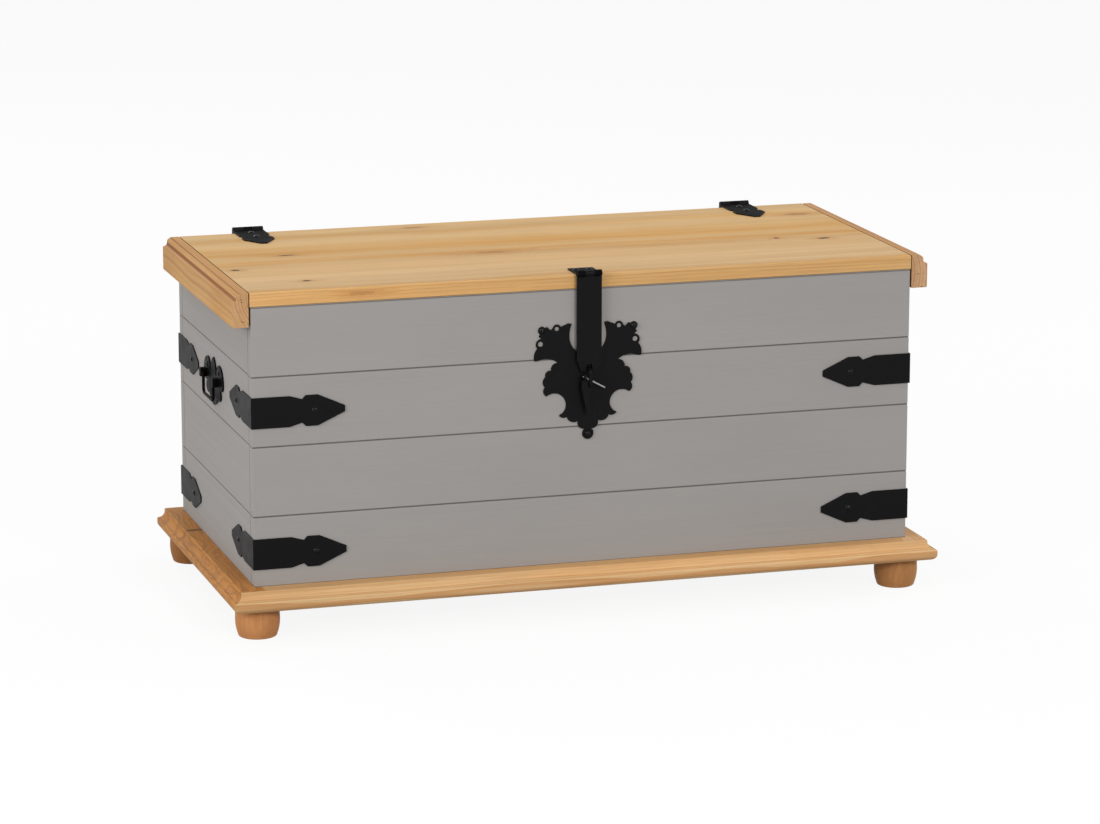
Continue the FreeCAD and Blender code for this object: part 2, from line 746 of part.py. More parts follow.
def make_hasp():
    """A plain leaf on the lid's front edge carries the strap, whose notched end straddles the staple."""
    edge = knuckle_edge("hasp_barrel")
    side = "hasp_width / 2"
    reach = "hasp_leaf_length + hasp_standoff"
    leaf_outline = [(edge, f"0 - {side}"), (edge, side), (reach, side), (reach, f"0 - {side}")]
    along = f"hasp_leaf_length * {HASP_SCREW_ALONG_SHARE} + hasp_standoff"
    screws = [(along, f"{sign} hasp_width * {HASP_SCREW_ACROSS_SHARE}", SCREW_HOLE) for sign in ("0 -", "0 +")]
    leaf = rolled_leaf("hasp_leaf", leaf_outline, screws, "hinge_thickness", "0 - hinge_axis_rise",
                       "hasp_barrel", "hasp_pin", "hasp_width", (0, 2))
    keep(hang(leaf, REARWARD_LEAF, "0", "hasp_axis_y", "hasp_axis_z"), "hasp_lid_leaf")
    shoulder = "hasp_length - hasp_taper"
    notch_top = "hasp_length - hasp_notch_depth"
    upper = [(edge, side), (shoulder, side), ("hasp_length", "hasp_end_width / 2"),
             ("hasp_length", "hasp_notch_width / 2"), (notch_top, "hasp_notch_width / 2")]
    lower = [(x, f"0 - {y}") for x, y in reversed(upper)]
    strap = rolled_leaf("hasp_strap_leaf", upper + lower, (), "hasp_thickness", "0 - hasp_thickness / 2",
                        "hasp_barrel", "hasp_pin", "hasp_width", (1,))
    keep(hang(strap, FRONT_LEAF, "0", "hasp_axis_y", "hasp_axis_z"), "hasp_strap")
    pin = cylinder("hasp_hinge_pin", "hasp_pin / 2", "hasp_width", f"0 - {side}",
                   "hasp_axis_y", "hasp_axis_z", QUARTER, ALONG_X)
    keep(pin, "hasp_pin")


# Right half of the ornamental plate, from the notch behind the hasp round to the bottom nail. Each entry ends
# a line, or an arc through a middle point, as shares of half the plate's width and of its height.
PLATE_NOTCH_SHARES = (0.0, 0.718)
PLATE_OUTLINE_SHARES = [
    ((0.242, 0.770), (0.347, 0.886)),
    ((0.336, 0.944), (0.303, 0.994)),
    (None, (0.371, 1.0)),
    (None, (0.509, 0.973)),
    ((0.582, 0.996), (0.656, 0.967)),
    (None, (0.697, 0.950)),
    (None, (0.761, 0.980)),
    (None, (0.800, 0.971)),
    ((0.903, 0.978), (0.891, 0.921)),
    (None, (0.920, 0.902)),
    (None, (0.867, 0.880)),
    ((0.968, 0.846), (0.944, 0.800)),
    ((0.997, 0.759), (1.0, 0.697)),
    (None, (0.952, 0.693)),
    ((0.770, 0.709), (0.564, 0.670)),
    ((0.661, 0.651), (0.692, 0.606)),
    ((0.777, 0.593), (0.794, 0.554)),
    ((0.842, 0.501), (0.806, 0.466)),
    ((0.833, 0.423), (0.774, 0.388)),
    ((0.600, 0.409), (0.412, 0.313)),
    ((0.444, 0.255), (0.541, 0.220)),
    ((0.479, 0.197), (0.394, 0.203)),
    ((0.323, 0.160), (0.189, 0.162)),
    ((0.165, 0.110), (0.068, 0.091)),
    ((0.105, 0.050), (0.0, 0.0)),
]
PLATE_UPPER_RING_SHARES = (0.582, 0.959)
PLATE_LOWER_RING_SHARES = (0.886, 0.837)


def curved_edges(start, strokes, scales):
    """Edges through the strokes, each a line or a three-point arc, with shares scaled to sizes."""
    def point(shares):
        return Vector(shares[0] * scales[0], shares[1] * scales[1], 0)
    edges = []
    for middle, end in strokes:
        if middle is None:
            edges.append(Part.LineSegment(point(start), point(end)).toShape())
        else:
            edges.append(Part.Arc(point(start), point(middle), point(end)).toShape())
        start = end
    return edges


def flat_plate(edges, holes, thickness):
    """A plate in the XY plane with round holes, given as (x, y, radius), its outer face towards +Z."""
    face = Part.Face(Part.Wire(Part.__sortEdges__(edges)))
    blank = face.extrude(Vector(0, 0, thickness))
    overrun = value("cut_overrun")
    for x, y, radius in holes:
        blank = blank.cut(Part.makeCylinder(radius, thickness + 2 * overrun, Vector(x, y, -overrun)))
    return blank


def make_lock_plate():
    half = value("plate_width / 2")
    height = value("plate_height")
    edges = []
    for side in (1, -1):
        edges += curved_edges(PLATE_NOTCH_SHARES, PLATE_OUTLINE_SHARES, (side * half, height))
    holes = [(x, y, value("nail_shank / 2 + screw_clearance")) for x, y in plate_nails()]
    for side in (1, -1):
        holes.append((*plate_point(PLATE_UPPER_RING_SHARES, side), value("plate_ring_upper")))
        holes.append((*plate_point(PLATE_LOWER_RING_SHARES, side), value("plate_ring_lower")))
    for leg in ("plate_staple_height + staple_span / 2", "plate_staple_height - staple_span / 2"):
        holes.append((0, value(leg), value("staple_rod / 2 + screw_clearance")))
    plate = flat_plate(edges, holes, value("plate_thickness"))
    keep(solid("lock_plate_shape", plate, plate_origin(), FACING_FRONT), "lock_plate")


def bent_rod(points, bends, diameter):
    """A round rod along straight runs in one plane, with a bend of its own radius at each corner."""
    edges = []
    begin = points[0]
    for corner, after, bend in zip(points[1:-1], points[2:], bends):
        towards = (corner - begin).normalize()
        away = (after - corner).normalize()
        turn_in = corner - towards * bend
        turn_out = corner + away * bend
        inner = turn_in + away * bend
        middle = inner + (corner - inner).normalize() * bend
        edges.append(Part.LineSegment(begin, turn_in).toShape())
        edges.append(Part.Arc(turn_in, middle, turn_out).toShape())
        begin = turn_out
    edges.append(Part.LineSegment(begin, points[-1]).toShape())
    start = (points[1] - points[0]).normalize()
    ring = Part.Wire([Part.makeCircle(diameter / 2, points[0], start)])
    return Part.Wire(edges).makePipeShell([ring], True, False)


def make_staple():
    """A square-cornered loop whose legs pass through the lock plate into the wall."""
    root = value("staple_root")
    reach = -value("staple_reach")
    rise = value("staple_span / 2")
    points = [Vector(0, root, rise), Vector(0, reach, rise), Vector(0, reach, -rise), Vector(0, root, -rise)]
    bend = value("staple_bend")
    loop = bent_rod(points, [bend, bend], value("staple_rod"))
    keep(solid("staple_shape", loop, Vector(0, value("front_face"), value("staple_z"))), "staple")


PEG_SHOULDER_SHARE = 0.32


def make_peg():
    """A tapered peg hangs by its eye from a bright pin that lies in the staple."""
    tilt = SIZES["latch_pin_tilt"]
    left_end = "peg_offset + peg_eye_width"
    pin = cylinder("latch_pin_rod", "latch_pin_diameter / 2", "latch_pin_length",
                   f"0 - ({left_end})", "latch_pin_y",
                   f"latch_pin_z + ({left_end}) * tan(latch_pin_tilt * 1deg)", QUARTER + tilt, ALONG_X)
    keep(pin, "latch_pin")
    body = new_body("peg_blade")
    side = "peg_width / 2"
    shoulder = f"0 - peg_length * {PEG_SHOULDER_SHARE}"
    tip = "0 - peg_length"
    neck = "0 - (peg_eye_bore + peg_eye_diameter) / 4 - peg_eye_sag"
    outline_points = [
        (f"0 - {side}", neck),
        (f"0 - {side}", shoulder),
        ("peg_lean - peg_tip_width / 2", tip),
        ("peg_lean + peg_tip_width / 2", tip),
        (side, shoulder),
        (side, neck),
    ]
    pad(body, outline(body, "peg_blade_outline", "XZ_Plane", outline_points), "peg_thickness")
    place(body, "0", "peg_thickness / 2", "0")
    eye = cylinder("peg_eye", "peg_eye_diameter / 2", "peg_eye_width", "0 - peg_eye_width / 2", "0",
                   "0 - peg_eye_sag", QUARTER, ALONG_X)
    hole = cylinder("peg_eye_hole", "peg_eye_bore / 2", "peg_width + 2 * cut_overrun",
                    "0 - peg_width / 2 - cut_overrun", "0", "0 - peg_eye_sag", QUARTER, ALONG_X)
    peg = cut("peg_bored", fuse("peg_forged", [body, eye]), hole)
    keep(place(peg, "0 - peg_offset", "latch_pin_y", "peg_axis_z"), "latch_peg")


# Right half of the handle's plate from its upper petal, past a wing and a lower petal, to its tip,
# as shares of its half length and half height
PETAL_TOP_SHARES = (0.0, 0.87)
PETAL_OUTLINE_SHARES = [
    ((0.155, 0.70), (0.25, 0.36)),
    ((0.31, 0.23), (0.38, 0.33)),
    ((0.43, 0.61), (0.59, 0.72)),
    ((0.87, 0.555), (1.0, 0.14)),
    ((0.955, -0.14), (0.83, -0.225)),
    (None, (0.64, -0.24)),
    ((0.745, -0.33), (0.755, -0.52)),
    ((0.66, -0.655), (0.47, -0.63)),
    ((0.27, -0.84), (0.0, -1.0)),
]


def handle_plate_shape():
    """The petalled plate with its two bored posts, facing +Z, with X along the chest's end."""
    half_length = value("handle_length / 2")
    half_height = value("handle_height / 2")
    edges = []
    for along in (1, -1):
        edges += curved_edges(PETAL_TOP_SHARES, PETAL_OUTLINE_SHARES, (along * half_length, half_height))
    offset = value("handle_screw_spacing / 2")
    screw_rise = value("handle_screw_rise")
    hole = value(SCREW_HOLE)
    holes = [(offset, screw_rise, hole), (-offset, screw_rise, hole)]
    shape = flat_plate(edges, holes, value("handle_thickness"))
    width = value("post_block_width")
    block = value("post_block")
    rise = value("post_rise")
    for centre in (value("post_spacing / 2"), -value("post_spacing / 2")):
        corner = Vector(centre - width / 2, rise - block / 2, 0)
        shape = shape.fuse(Part.makeBox(width, block, value("post_reach"), corner))
    bore_reach = value("post_spacing / 2 - post_block_width / 2 + bail_root + knuckle_clearance")
    bore = Part.makeCylinder(value("bail_rod / 2 + running_clearance"), 2 * bore_reach,
                             Vector(-bore_reach, rise, value("bail_axis_reach")), Vector(1, 0, 0))
    return shape.cut(bore)


def bail_shape():
    """A bent rod that hangs from the posts, its pivot along X through the origin."""
    end = value("post_spacing / 2 - post_block_width / 2 + bail_root")
    leg = value("bail_width / 2")
    drop = -value("bail_drop")
    corner = value("bail_corner")
    bend = value("bail_bend")
    runs = [Vector(-end, 0, 0), Vector(-leg, 0, 0), Vector(-leg, drop, 0), Vector(leg, drop, 0),
            Vector(leg, 0, 0), Vector(end, 0, 0)]
    bends = [corner, bend, bend, corner]
    return bent_rod(runs, bends, value("bail_rod"))


def make_handles():
    for end, sign, rotation in (("left", -1, FACING_LEFT), ("right", 1, FACING_RIGHT)):
        x = sign * value("half_width")
        seat = Vector(x, value("middle_depth"), value("handle_z"))
        keep(solid(f"handle_{end}_shape", handle_plate_shape(), seat, rotation), f"handle_plate_{end}")
        pivot = Vector(sign * value("bail_axis_x"), value("middle_depth"), value("bail_axis_z"))
        keep(solid(f"bail_{end}_shape", bail_shape(), pivot, rotation), f"handle_bail_{end}")


def make_fastener(name, head, rise, shank, length):
    """A dome-headed screw or nail, its head's underside at the origin and its shank down -Z."""
    body = new_body(name)
    dome = f"({rise} ^ 2 + ({head} / 2) ^ 2) / (2 * {rise})"
    section = [
        ("0", f"0 - {length}"),
        (f"{shank} / 2", f"0 - {length}"),
        (f"{shank} / 2", "0"),
        (f"{head} / 2", "0"),
        ("0", rise, dome, -1),
    ]
    revolve(body, outline(body, name + "_section", "XZ_Plane", section))
    doc.recompute()
    return body.Shape


def copies(name, shape, placements, label):
    """One node of separate, identical fasteners."""
    pieces = [shape.transformed(spot.toMatrix()) for spot in placements]
    keep(solid(name, Part.Compound(pieces)), label)


def make_fasteners():
    screw = make_fastener("dome_screw", "screw_head", "screw_head_rise", "screw_shank", "screw_length")
    nail = make_fastener("dome_nail", "nail_head", "nail_head_rise", "nail_shank", "nail_length")
    copies("case_screw_set", screw, case_screw_places(), "case_screws")
    copies("lid_screw_set", screw, lid_screw_places(), "lid_screws")
    copies("lock_plate_nail_set", nail, nail_places(), "lock_plate_nails")


def check_and_write():
    """Stops on any failed object or bad shape, then writes one file for each sub-part."""
    doc.recompute()
    for item in doc.Objects:
        if "Invalid" in item.State or "Error" in item.State:
            raise RuntimeError(f"{item.Label} failed: {item.State}")
    for item in nodes:
        if item.Shape.isNull() or not item.Shape.isValid():
            raise RuntimeError(f"{item.Label} has no valid shape")
    os.makedirs("parts", exist_ok=True)
    for item in nodes:
        item.Shape.exportStep(f"parts/{item.Label}.step")


make_plinth()
make_feet()
make_walls()
make_corner_posts()
make_lid()
make_straps()
make_hinges()
make_hasp()
make_lock_plate()
make_staple()
make_peg()
make_handles()
make_fasteners()
check_and_write()
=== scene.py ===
"""A lidded pine chest: grey painted boards, clear pine lid, plinth and feet, black ironwork."""
import json
import math
import bpy
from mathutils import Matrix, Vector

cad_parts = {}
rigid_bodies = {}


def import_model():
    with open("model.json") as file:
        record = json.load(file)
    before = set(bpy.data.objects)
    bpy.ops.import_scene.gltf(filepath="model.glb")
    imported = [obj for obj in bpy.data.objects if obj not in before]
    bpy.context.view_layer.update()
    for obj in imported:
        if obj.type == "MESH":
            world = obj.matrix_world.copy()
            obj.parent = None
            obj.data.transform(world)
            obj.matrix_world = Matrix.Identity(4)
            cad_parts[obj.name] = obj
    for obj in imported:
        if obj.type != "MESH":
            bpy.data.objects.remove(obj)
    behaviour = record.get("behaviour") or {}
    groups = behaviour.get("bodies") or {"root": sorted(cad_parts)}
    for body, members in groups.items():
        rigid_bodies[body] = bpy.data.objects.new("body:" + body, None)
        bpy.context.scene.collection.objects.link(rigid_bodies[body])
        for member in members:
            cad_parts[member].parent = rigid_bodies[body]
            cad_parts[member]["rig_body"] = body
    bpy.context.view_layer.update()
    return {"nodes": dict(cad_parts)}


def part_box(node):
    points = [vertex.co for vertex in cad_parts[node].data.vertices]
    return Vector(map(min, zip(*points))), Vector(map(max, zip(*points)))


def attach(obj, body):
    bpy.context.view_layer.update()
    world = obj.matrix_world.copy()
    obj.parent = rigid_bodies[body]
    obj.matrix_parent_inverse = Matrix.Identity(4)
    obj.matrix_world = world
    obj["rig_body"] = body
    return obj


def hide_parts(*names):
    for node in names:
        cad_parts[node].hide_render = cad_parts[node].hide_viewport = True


for leftover in list(bpy.data.objects):
    bpy.data.objects.remove(leftover)
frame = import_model()

VALUE = "NodeSocketFloat"
PLACE = "NodeSocketVector"
TINT = "NodeSocketColor"

# Turns that lay a pattern's grain along the chest's length, depth or height
QUARTER = math.radians(90)
ALONG_X = (0.0, 0.0, 0.0)
ALONG_Y = (0.0, 0.0, -QUARTER)
ALONG_Z = (0.0, QUARTER, 0.0)

# Walls, in metres: the foot of the lowest boards, the width that a board shows, the lines where the end
# boards meet the front and back walls, the heights between which painted shade gathers under the lid, and
# those between which that painted shade ends at the rim
WALL_FOOT = 0.071
BOARD_PITCH = 0.095
LAP_LINES = (-0.1955, 0.2145)
UNDER_LID_SHADE = (0.4486, 0.4502)
WALL_RIM = (0.4503, 0.4508)

# Lid and battens, in metres: the lid's end arrises lie past the first two, a batten's hollow lies between the
# next two, and its upper step lies past the last two; hollow and step take painted shade
LID_END_X = 0.466
LID_TOP_Z = 0.47
HOLLOW_FOOT_Z = 0.4598
HOLLOW_HEAD_Z = 0.4647
STEP_FOOT_Z = 0.4693
STEP_X = 0.475

# The plinth's moulded strip and the middle of a handle plate, in metres
MOULDED_STRIP = 0.045
HANDLE_MIDDLE_Z = 0.3

# How squarely a face has to look a way to take that side's finish, from 0 to 1
INSIDE_FACING = 0.9
JOINT_FACING = 0.5
LID_EDGE_FACING = 0.6
HOLLOW_FACING = 0.6
STEP_FACING = 0.85
DOWN_FACING = 0.9

# How the arrises are eased, in metres, and which corners count as arrises and which as flat
WALL_EASE = 0.0005
LID_EASE = 0.0009
BATTEN_EASE = 0.0003
PLINTH_EASE = 0.0005
IRON_EASE = 0.00035
EASE_STEPS = 2
EASE_ANGLE = math.radians(30)
MERGE_DISTANCE = 0.00001
FLAT_ANGLE = math.radians(0.5)

# The dome-headed screw, in metres, with the shares of its shank that are straight and that are its point
HEAD_RADIUS = 0.0045
HEAD_RISE = 0.0022
SHANK_RADIUS = 0.002
SHANK_LENGTH = 0.0138
STRAIGHT_SHARE = 0.7
POINT_SHARE = 0.3
POINT_TAPER = 0.15
RECESS_LENGTH = 0.0045
RECESS_WIDTH = 0.0009
RECESS_HEIGHT = 0.0024
RECESS_TAPER = 0.55
SMOOTH_ANGLE = math.radians(35)

# How far the cross of each screw is turned past the one before, in degrees
CROSS_STEP = 47

# Where screws are driven: the axis, the way out, how far out their heads reach at least, and their turn
SCREWED_SIDES = (
    (2, 1.0, 0.4705, (0.0, 0.0, 0.0)),
    (1, -1.0, 0.2165, (QUARTER, 0.0, 0.0)),
    (1, 1.0, 0.2355, (-QUARTER, 0.0, 0.0)),
    (0, -1.0, 0.466, (0.0, -QUARTER, 0.0)),
    (0, 1.0, 0.466, (0.0, QUARTER, 0.0)),
)

# The depth of a finish's relief in metres, and how far light glances off it
PINE_RELIEF = 0.00035
PINE_GLOSS = 0.12
PAINT_RELIEF = 0.0002
PAINT_GLOSS = 0.12

# Colours that boards share
KNOT_COLOUR = (62, 37, 22)
PAINT_BODY = (153, 149, 146)
PAINT_THIN = (142, 138, 133)
# Painted shade: the darker grey for the grooves between wall boards, the corner joint lines and the rim under
# the lid
PAINT_JOINT_SHADE = (80, 77, 74)

# Stage and camera
FLOOR_SIZE = 60.0
FLOOR_GREY = (0.42, 0.42, 0.42, 1.0)
FLOOR_PALE = (0.9, 0.9, 0.9, 1.0)
FLOOR_GLOW = 0.9
WHITE = (1.0, 1.0, 1.0, 1.0)
AMBIENT = 0.5
LENS = 140.973
SENSOR = 36.0
CAMERA_REACH = 100.0
CAMERA_PLACE = (-1.7076, -5.64581, 1.55972)
CAMERA_DIP = 12.6683
CAMERA_TURN = -16.9442

# Each lamp's place, aim, size and power
LAMPS = {
    "key softbox": ((0.8, -4.6, 2.3), (0.0, 0.0, 0.3), (0.9, 0.9), 95.0),
    "left softbox": ((-3.8, -1.9, 1.6), (0.0, 0.0, 0.25), (2.0, 2.0), 90.0),
    "overhead": ((0.0, 0.3, 3.4), (0.0, 0.0, 0.4), (3.0, 2.0), 8.0),
    "rear softbox": ((-1.6, 3.9, 3.2), (0.0, 0.0, 0.3), (2.0, 2.0), 48.0),
    "right softbox": ((3.8, 0.6, 1.8), (0.0, 0.0, 0.3), (2.0, 2.0), 40.0),
}


# Small helpers for wiring nodes


def tint(red, green, blue):
    """A colour as the eye reads it, 0 to 255, in the light values that a shader takes."""
    light = []
    for part in (red, green, blue):
        part = part / 255
        light.append(part / 12.92 if part <= 0.04045 else ((part + 0.055) / 1.055) ** 2.4)
    return (light[0], light[1], light[2], 1.0)


def put(tree, kind, wired=None, **options):
    """Adds a node with its options, and wires or sets the inputs that are named."""
    made = tree.nodes.new(kind)
    for option, setting in options.items():
        setattr(made, option, setting)
    for socket, given in (wired or {}).items():
        if isinstance(given, bpy.types.NodeSocket):
            tree.links.new(given, made.inputs[socket])
        else:
            made.inputs[socket].default_value = given
    return made


def maths(tree, operation, first, second=0.0):
    return put(tree, "ShaderNodeMath", {0: first, 1: second}, operation=operation).outputs[0]


def vector(tree, operation, first, second):
    return put(tree, "ShaderNodeVectorMath", {0: first, 1: second}, operation=operation).outputs[0]


def length(tree, given):
    return put(tree, "ShaderNodeVectorMath", {0: given}, operation="LENGTH").outputs["Value"]


def ramp(tree, given, span, to=(0.0, 1.0)):
    """Carries a value from one span to another, eased at both ends."""
    wired = {"Value": given, "From Min": span[0], "From Max": span[1], "To Min": to[0], "To Max": to[1]}
    return put(tree, "ShaderNodeMapRange", wired, interpolation_type="SMOOTHSTEP").outputs[0]


def noise(tree, place, stretch, detail=2.0, roughness=0.5):
    """Soft noise whose grains are stretched by the inverse of the three numbers."""
    spread = vector(tree, "MULTIPLY", place, stretch)
    wired = {"Vector": spread, "Scale": 1.0, "Detail": detail, "Roughness": roughness}
    return put(tree, "ShaderNodeTexNoise", wired).outputs


def mixed(tree, share, first, second):
    wired = {0: share, 6: first, 7: second}
    return put(tree, "ShaderNodeMix", wired, data_type="RGBA").outputs[2]


def sockets(kind, *labels):
    return [(label, kind) for label in labels]


COAT = sockets(TINT, "Color") + sockets(VALUE, "Roughness", "Height")


def new_group(name, takes, gives):
    """An empty shader group with its sockets, and the ends to wire."""
    group = bpy.data.node_groups.new(name, "ShaderNodeTree")
    for label, kind in takes:
        group.interface.new_socket(label, in_out="INPUT", socket_type=kind)
    for label, kind in gives:
        group.interface.new_socket(label, in_out="OUTPUT", socket_type=kind)
    entry = group.nodes.new("NodeGroupInput")
    leave = group.nodes.new("NodeGroupOutput")
    return group, entry.outputs, leave.inputs


def hand_out(tree, given, results):
    """Wires a group's results to its outputs by their labels."""
    for label, result in results.items():
        tree.links.new(result, given[label])


def seeded(tree, place, seed):
    """The place moved far away by a seed, so that no two boards share their noise."""
    wired = {}
    for axis, stride in enumerate((3.7, 5.3, 7.9)):
        wired[axis] = maths(tree, "MULTIPLY", seed, stride)
    far = put(tree, "ShaderNodeCombineXYZ", wired).outputs[0]
    return vector(tree, "ADD", place, far)


# Shared effects


def make_growth_rings():
    """Solid timber with its grain along X: late wood lines, fine fibre, slow tone and resin flecks."""
    takes = sockets(PLACE, "Place", "Pith") + sockets(VALUE, "Ring Width", "Wander", "Push", "Seed")
    tree, taken, given = new_group("growth rings", takes, sockets(VALUE, "Late", "Fibre", "Tone", "Fleck"))
    place = seeded(tree, taken["Place"], taken["Seed"])
    drift = vector(tree, "SUBTRACT", noise(tree, place, (1.3, 6.0, 6.0))["Color"], (0.5, 0.5, 0.5))
    wired = {0: drift, "Scale": taken["Wander"]}
    drift = put(tree, "ShaderNodeVectorMath", wired, operation="SCALE").outputs[0]
    from_pith = vector(tree, "SUBTRACT", vector(tree, "ADD", taken["Place"], drift), taken["Pith"])
    radius = length(tree, vector(tree, "MULTIPLY", from_pith, (0.0, 1.0, 1.0)))
    radius = maths(tree, "ADD", radius, taken["Push"])
    count = maths(tree, "DIVIDE", radius, taken["Ring Width"])
    wired = {"W": maths(tree, "MULTIPLY", count, 0.31), "Scale": 1.0}
    uneven = put(tree, "ShaderNodeTexNoise", wired, noise_dimensions="1D").outputs["Fac"]
    shaken = noise(tree, place, (9.0, 150.0, 150.0))["Fac"]
    count = maths(tree, "ADD", count, maths(tree, "MULTIPLY", uneven, 1.6))
    count = maths(tree, "ADD", count, maths(tree, "MULTIPLY", shaken, 0.5))
    within = maths(tree, "FRACT", count)
    growing = ramp(tree, within, (0.2, 0.9))
    resting = ramp(tree, within, (0.92, 1.0), (1.0, 0.0))
    late = maths(tree, "MULTIPLY", growing, resting)
    wired = {"W": maths(tree, "FLOOR", count)}
    season = put(tree, "ShaderNodeTexWhiteNoise", wired, noise_dimensions="1D").outputs["Value"]
    late = maths(tree, "MULTIPLY", late, ramp(tree, season, (0.0, 1.0), (0.4, 1.0)))
    fibre = noise(tree, place, (14.0, 800.0, 800.0), 3.0, 0.65)["Fac"]
    tone = noise(tree, place, (0.9, 15.0, 15.0), 3.0)["Fac"]
    fleck = ramp(tree, noise(tree, place, (42.0, 900.0, 900.0), 1.0)["Fac"], (0.68, 0.74))
    hand_out(tree, given, {"Late": late, "Fibre": fibre, "Tone": tone, "Fleck": fleck})
    return tree


def make_knot():
    """One knot: a dark core, a warm halo round it, and the push that bends the rings past it.

    What it takes as core, halo and push comes from the knot before it on the same board."""
    takes = sockets(PLACE, "Place", "Centre", "Shape")
    takes += sockets(VALUE, "Radius", "Depth", "Core", "Halo", "Push")
    tree, taken, given = new_group("knot", takes, sockets(VALUE, "Core", "Halo", "Push"))
    away = vector(tree, "SUBTRACT", taken["Place"], taken["Centre"])
    away = vector(tree, "MULTIPLY", away, taken["Shape"])
    frayed = noise(tree, taken["Place"], (120.0, 220.0, 220.0))["Fac"]
    distance = maths(tree, "DIVIDE", length(tree, away), taken["Radius"])
    distance = maths(tree, "ADD", distance, ramp(tree, frayed, (0.3, 0.7), (-0.22, 0.22)))
    core = maths(tree, "MULTIPLY", ramp(tree, distance, (0.7, 1.15), (1.0, 0.0)), taken["Depth"])
    halo = ramp(tree, distance, (0.8, 3.6), (1.0, 0.0))
    push = maths(tree, "MULTIPLY", ramp(tree, distance, (0.0, 4.5), (1.6, 0.0)), taken["Radius"])
    core = maths(tree, "MAXIMUM", core, taken["Core"])
    halo = maths(tree, "MAXIMUM", halo, taken["Halo"])
    push = maths(tree, "ADD", push, taken["Push"])
    hand_out(tree, given, {"Core": core, "Halo": halo, "Push": push})
    return tree


def make_heart_band():
    """A band of warmer heartwood that runs with the grain and comes and goes along it."""
    takes = sockets(PLACE, "Place") + sockets(VALUE, "Line", "Half Width", "Seed")
    tree, taken, given = new_group("heart band", takes, sockets(VALUE, "Heart"))
    place = seeded(tree, taken["Place"], taken["Seed"])
    sideways = put(tree, "ShaderNodeSeparateXYZ", {0: taken["Place"]}).outputs["Y"]
    bend = ramp(tree, noise(tree, place, (2.2, 4.0, 0.0), 3.0)["Fac"], (0.25, 0.75), (-0.02, 0.02))
    off_line = maths(tree, "SUBTRACT", maths(tree, "ADD", sideways, bend), taken["Line"])
    off_line = maths(tree, "ABSOLUTE", off_line)
    band = maths(tree, "SUBTRACT", 1.0, maths(tree, "DIVIDE", off_line, taken["Half Width"]))
    band = ramp(tree, band, (0.0, 0.9))
    streaks = noise(tree, place, (3.0, 55.0, 55.0), 3.0)["Fac"]
    heart = maths(tree, "MULTIPLY", band, ramp(tree, streaks, (0.25, 0.65), (0.35, 1.0)))
    hand_out(tree, given, {"Heart": heart})
    return tree


def make_end_grain():
    """Shows where a face is cut across the grain, with short drying cracks."""
    takes = sockets(PLACE, "Place", "Facing", "Grain")
    tree, taken, given = new_group("end grain", takes, sockets(VALUE, "End", "Crack"))
    wired = {0: taken["Facing"], 1: taken["Grain"]}
    turned = put(tree, "ShaderNodeVectorMath", wired, operation="DOT_PRODUCT").outputs["Value"]
    end = ramp(tree, maths(tree, "ABSOLUTE", turned), (0.75, 0.95))
    veins = noise(tree, taken["Place"], (30.0, 75.0, 420.0))["Fac"]
    crack = maths(tree, "MULTIPLY", ramp(tree, veins, (0.66, 0.73)), end)
    hand_out(tree, given, {"End": end, "Crack": crack})
    return tree


def make_pine_finish():
    """Pine under clear satin lacquer, from the masks of its figure."""
    masks = sockets(VALUE, "Late", "Fibre", "Tone", "Fleck", "Heart", "Core", "Halo", "End", "Crack")
    colours = sockets(TINT, "Early Colour", "Late Colour", "Heart Colour", "Knot Colour")
    tree, taken, given = new_group("pine finish", masks + colours + sockets(VALUE, "Figure"), COAT)
    colour = mixed(tree, taken["Heart"], taken["Early Colour"], taken["Heart Colour"])
    lines = maths(tree, "MULTIPLY", taken["Late"], taken["Figure"])
    colour = mixed(tree, lines, colour, taken["Late Colour"])
    warm = maths(tree, "MULTIPLY", taken["Halo"], 0.55)
    colour = mixed(tree, warm, colour, taken["Late Colour"])
    light = maths(tree, "MULTIPLY", ramp(tree, taken["Tone"], (0.25, 0.75), (0.9, 1.09)),
                  ramp(tree, taken["Fibre"], (0.25, 0.75), (0.9, 1.08)))
    light = maths(tree, "MULTIPLY", light, ramp(tree, taken["Fleck"], (0.0, 1.0), (1.0, 0.86)))
    light = maths(tree, "MULTIPLY", light, ramp(tree, taken["End"], (0.0, 1.0), (1.0, 1.02)))
    dull = ramp(tree, taken["End"], (0.0, 1.0), (1.0, 0.86))
    wired = {"Value": light, "Saturation": dull, "Color": colour}
    colour = put(tree, "ShaderNodeHueSaturation", wired).outputs[0]
    colour = mixed(tree, taken["Core"], colour, taken["Knot Colour"])
    colour = mixed(tree, maths(tree, "MULTIPLY", taken["Crack"], 0.7), colour, taken["Knot Colour"])
    rough = maths(tree, "ADD", ramp(tree, taken["Fibre"], (0.2, 0.8), (0.5, 0.62)),
                  maths(tree, "MULTIPLY", taken["End"], 0.16))
    rough = maths(tree, "SUBTRACT", rough, maths(tree, "MULTIPLY", taken["Late"], 0.05))
    height = maths(tree, "ADD", maths(tree, "MULTIPLY", taken["Late"], 0.5),
                   maths(tree, "MULTIPLY", taken["Fibre"], 0.5))
    height = maths(tree, "SUBTRACT", height, maths(tree, "MULTIPLY", taken["Crack"], 1.5))
    height = maths(tree, "SUBTRACT", height, maths(tree, "MULTIPLY", taken["Core"], 0.4))
    hand_out(tree, given, {"Color": colour, "Roughness": rough, "Height": height})
    return tree


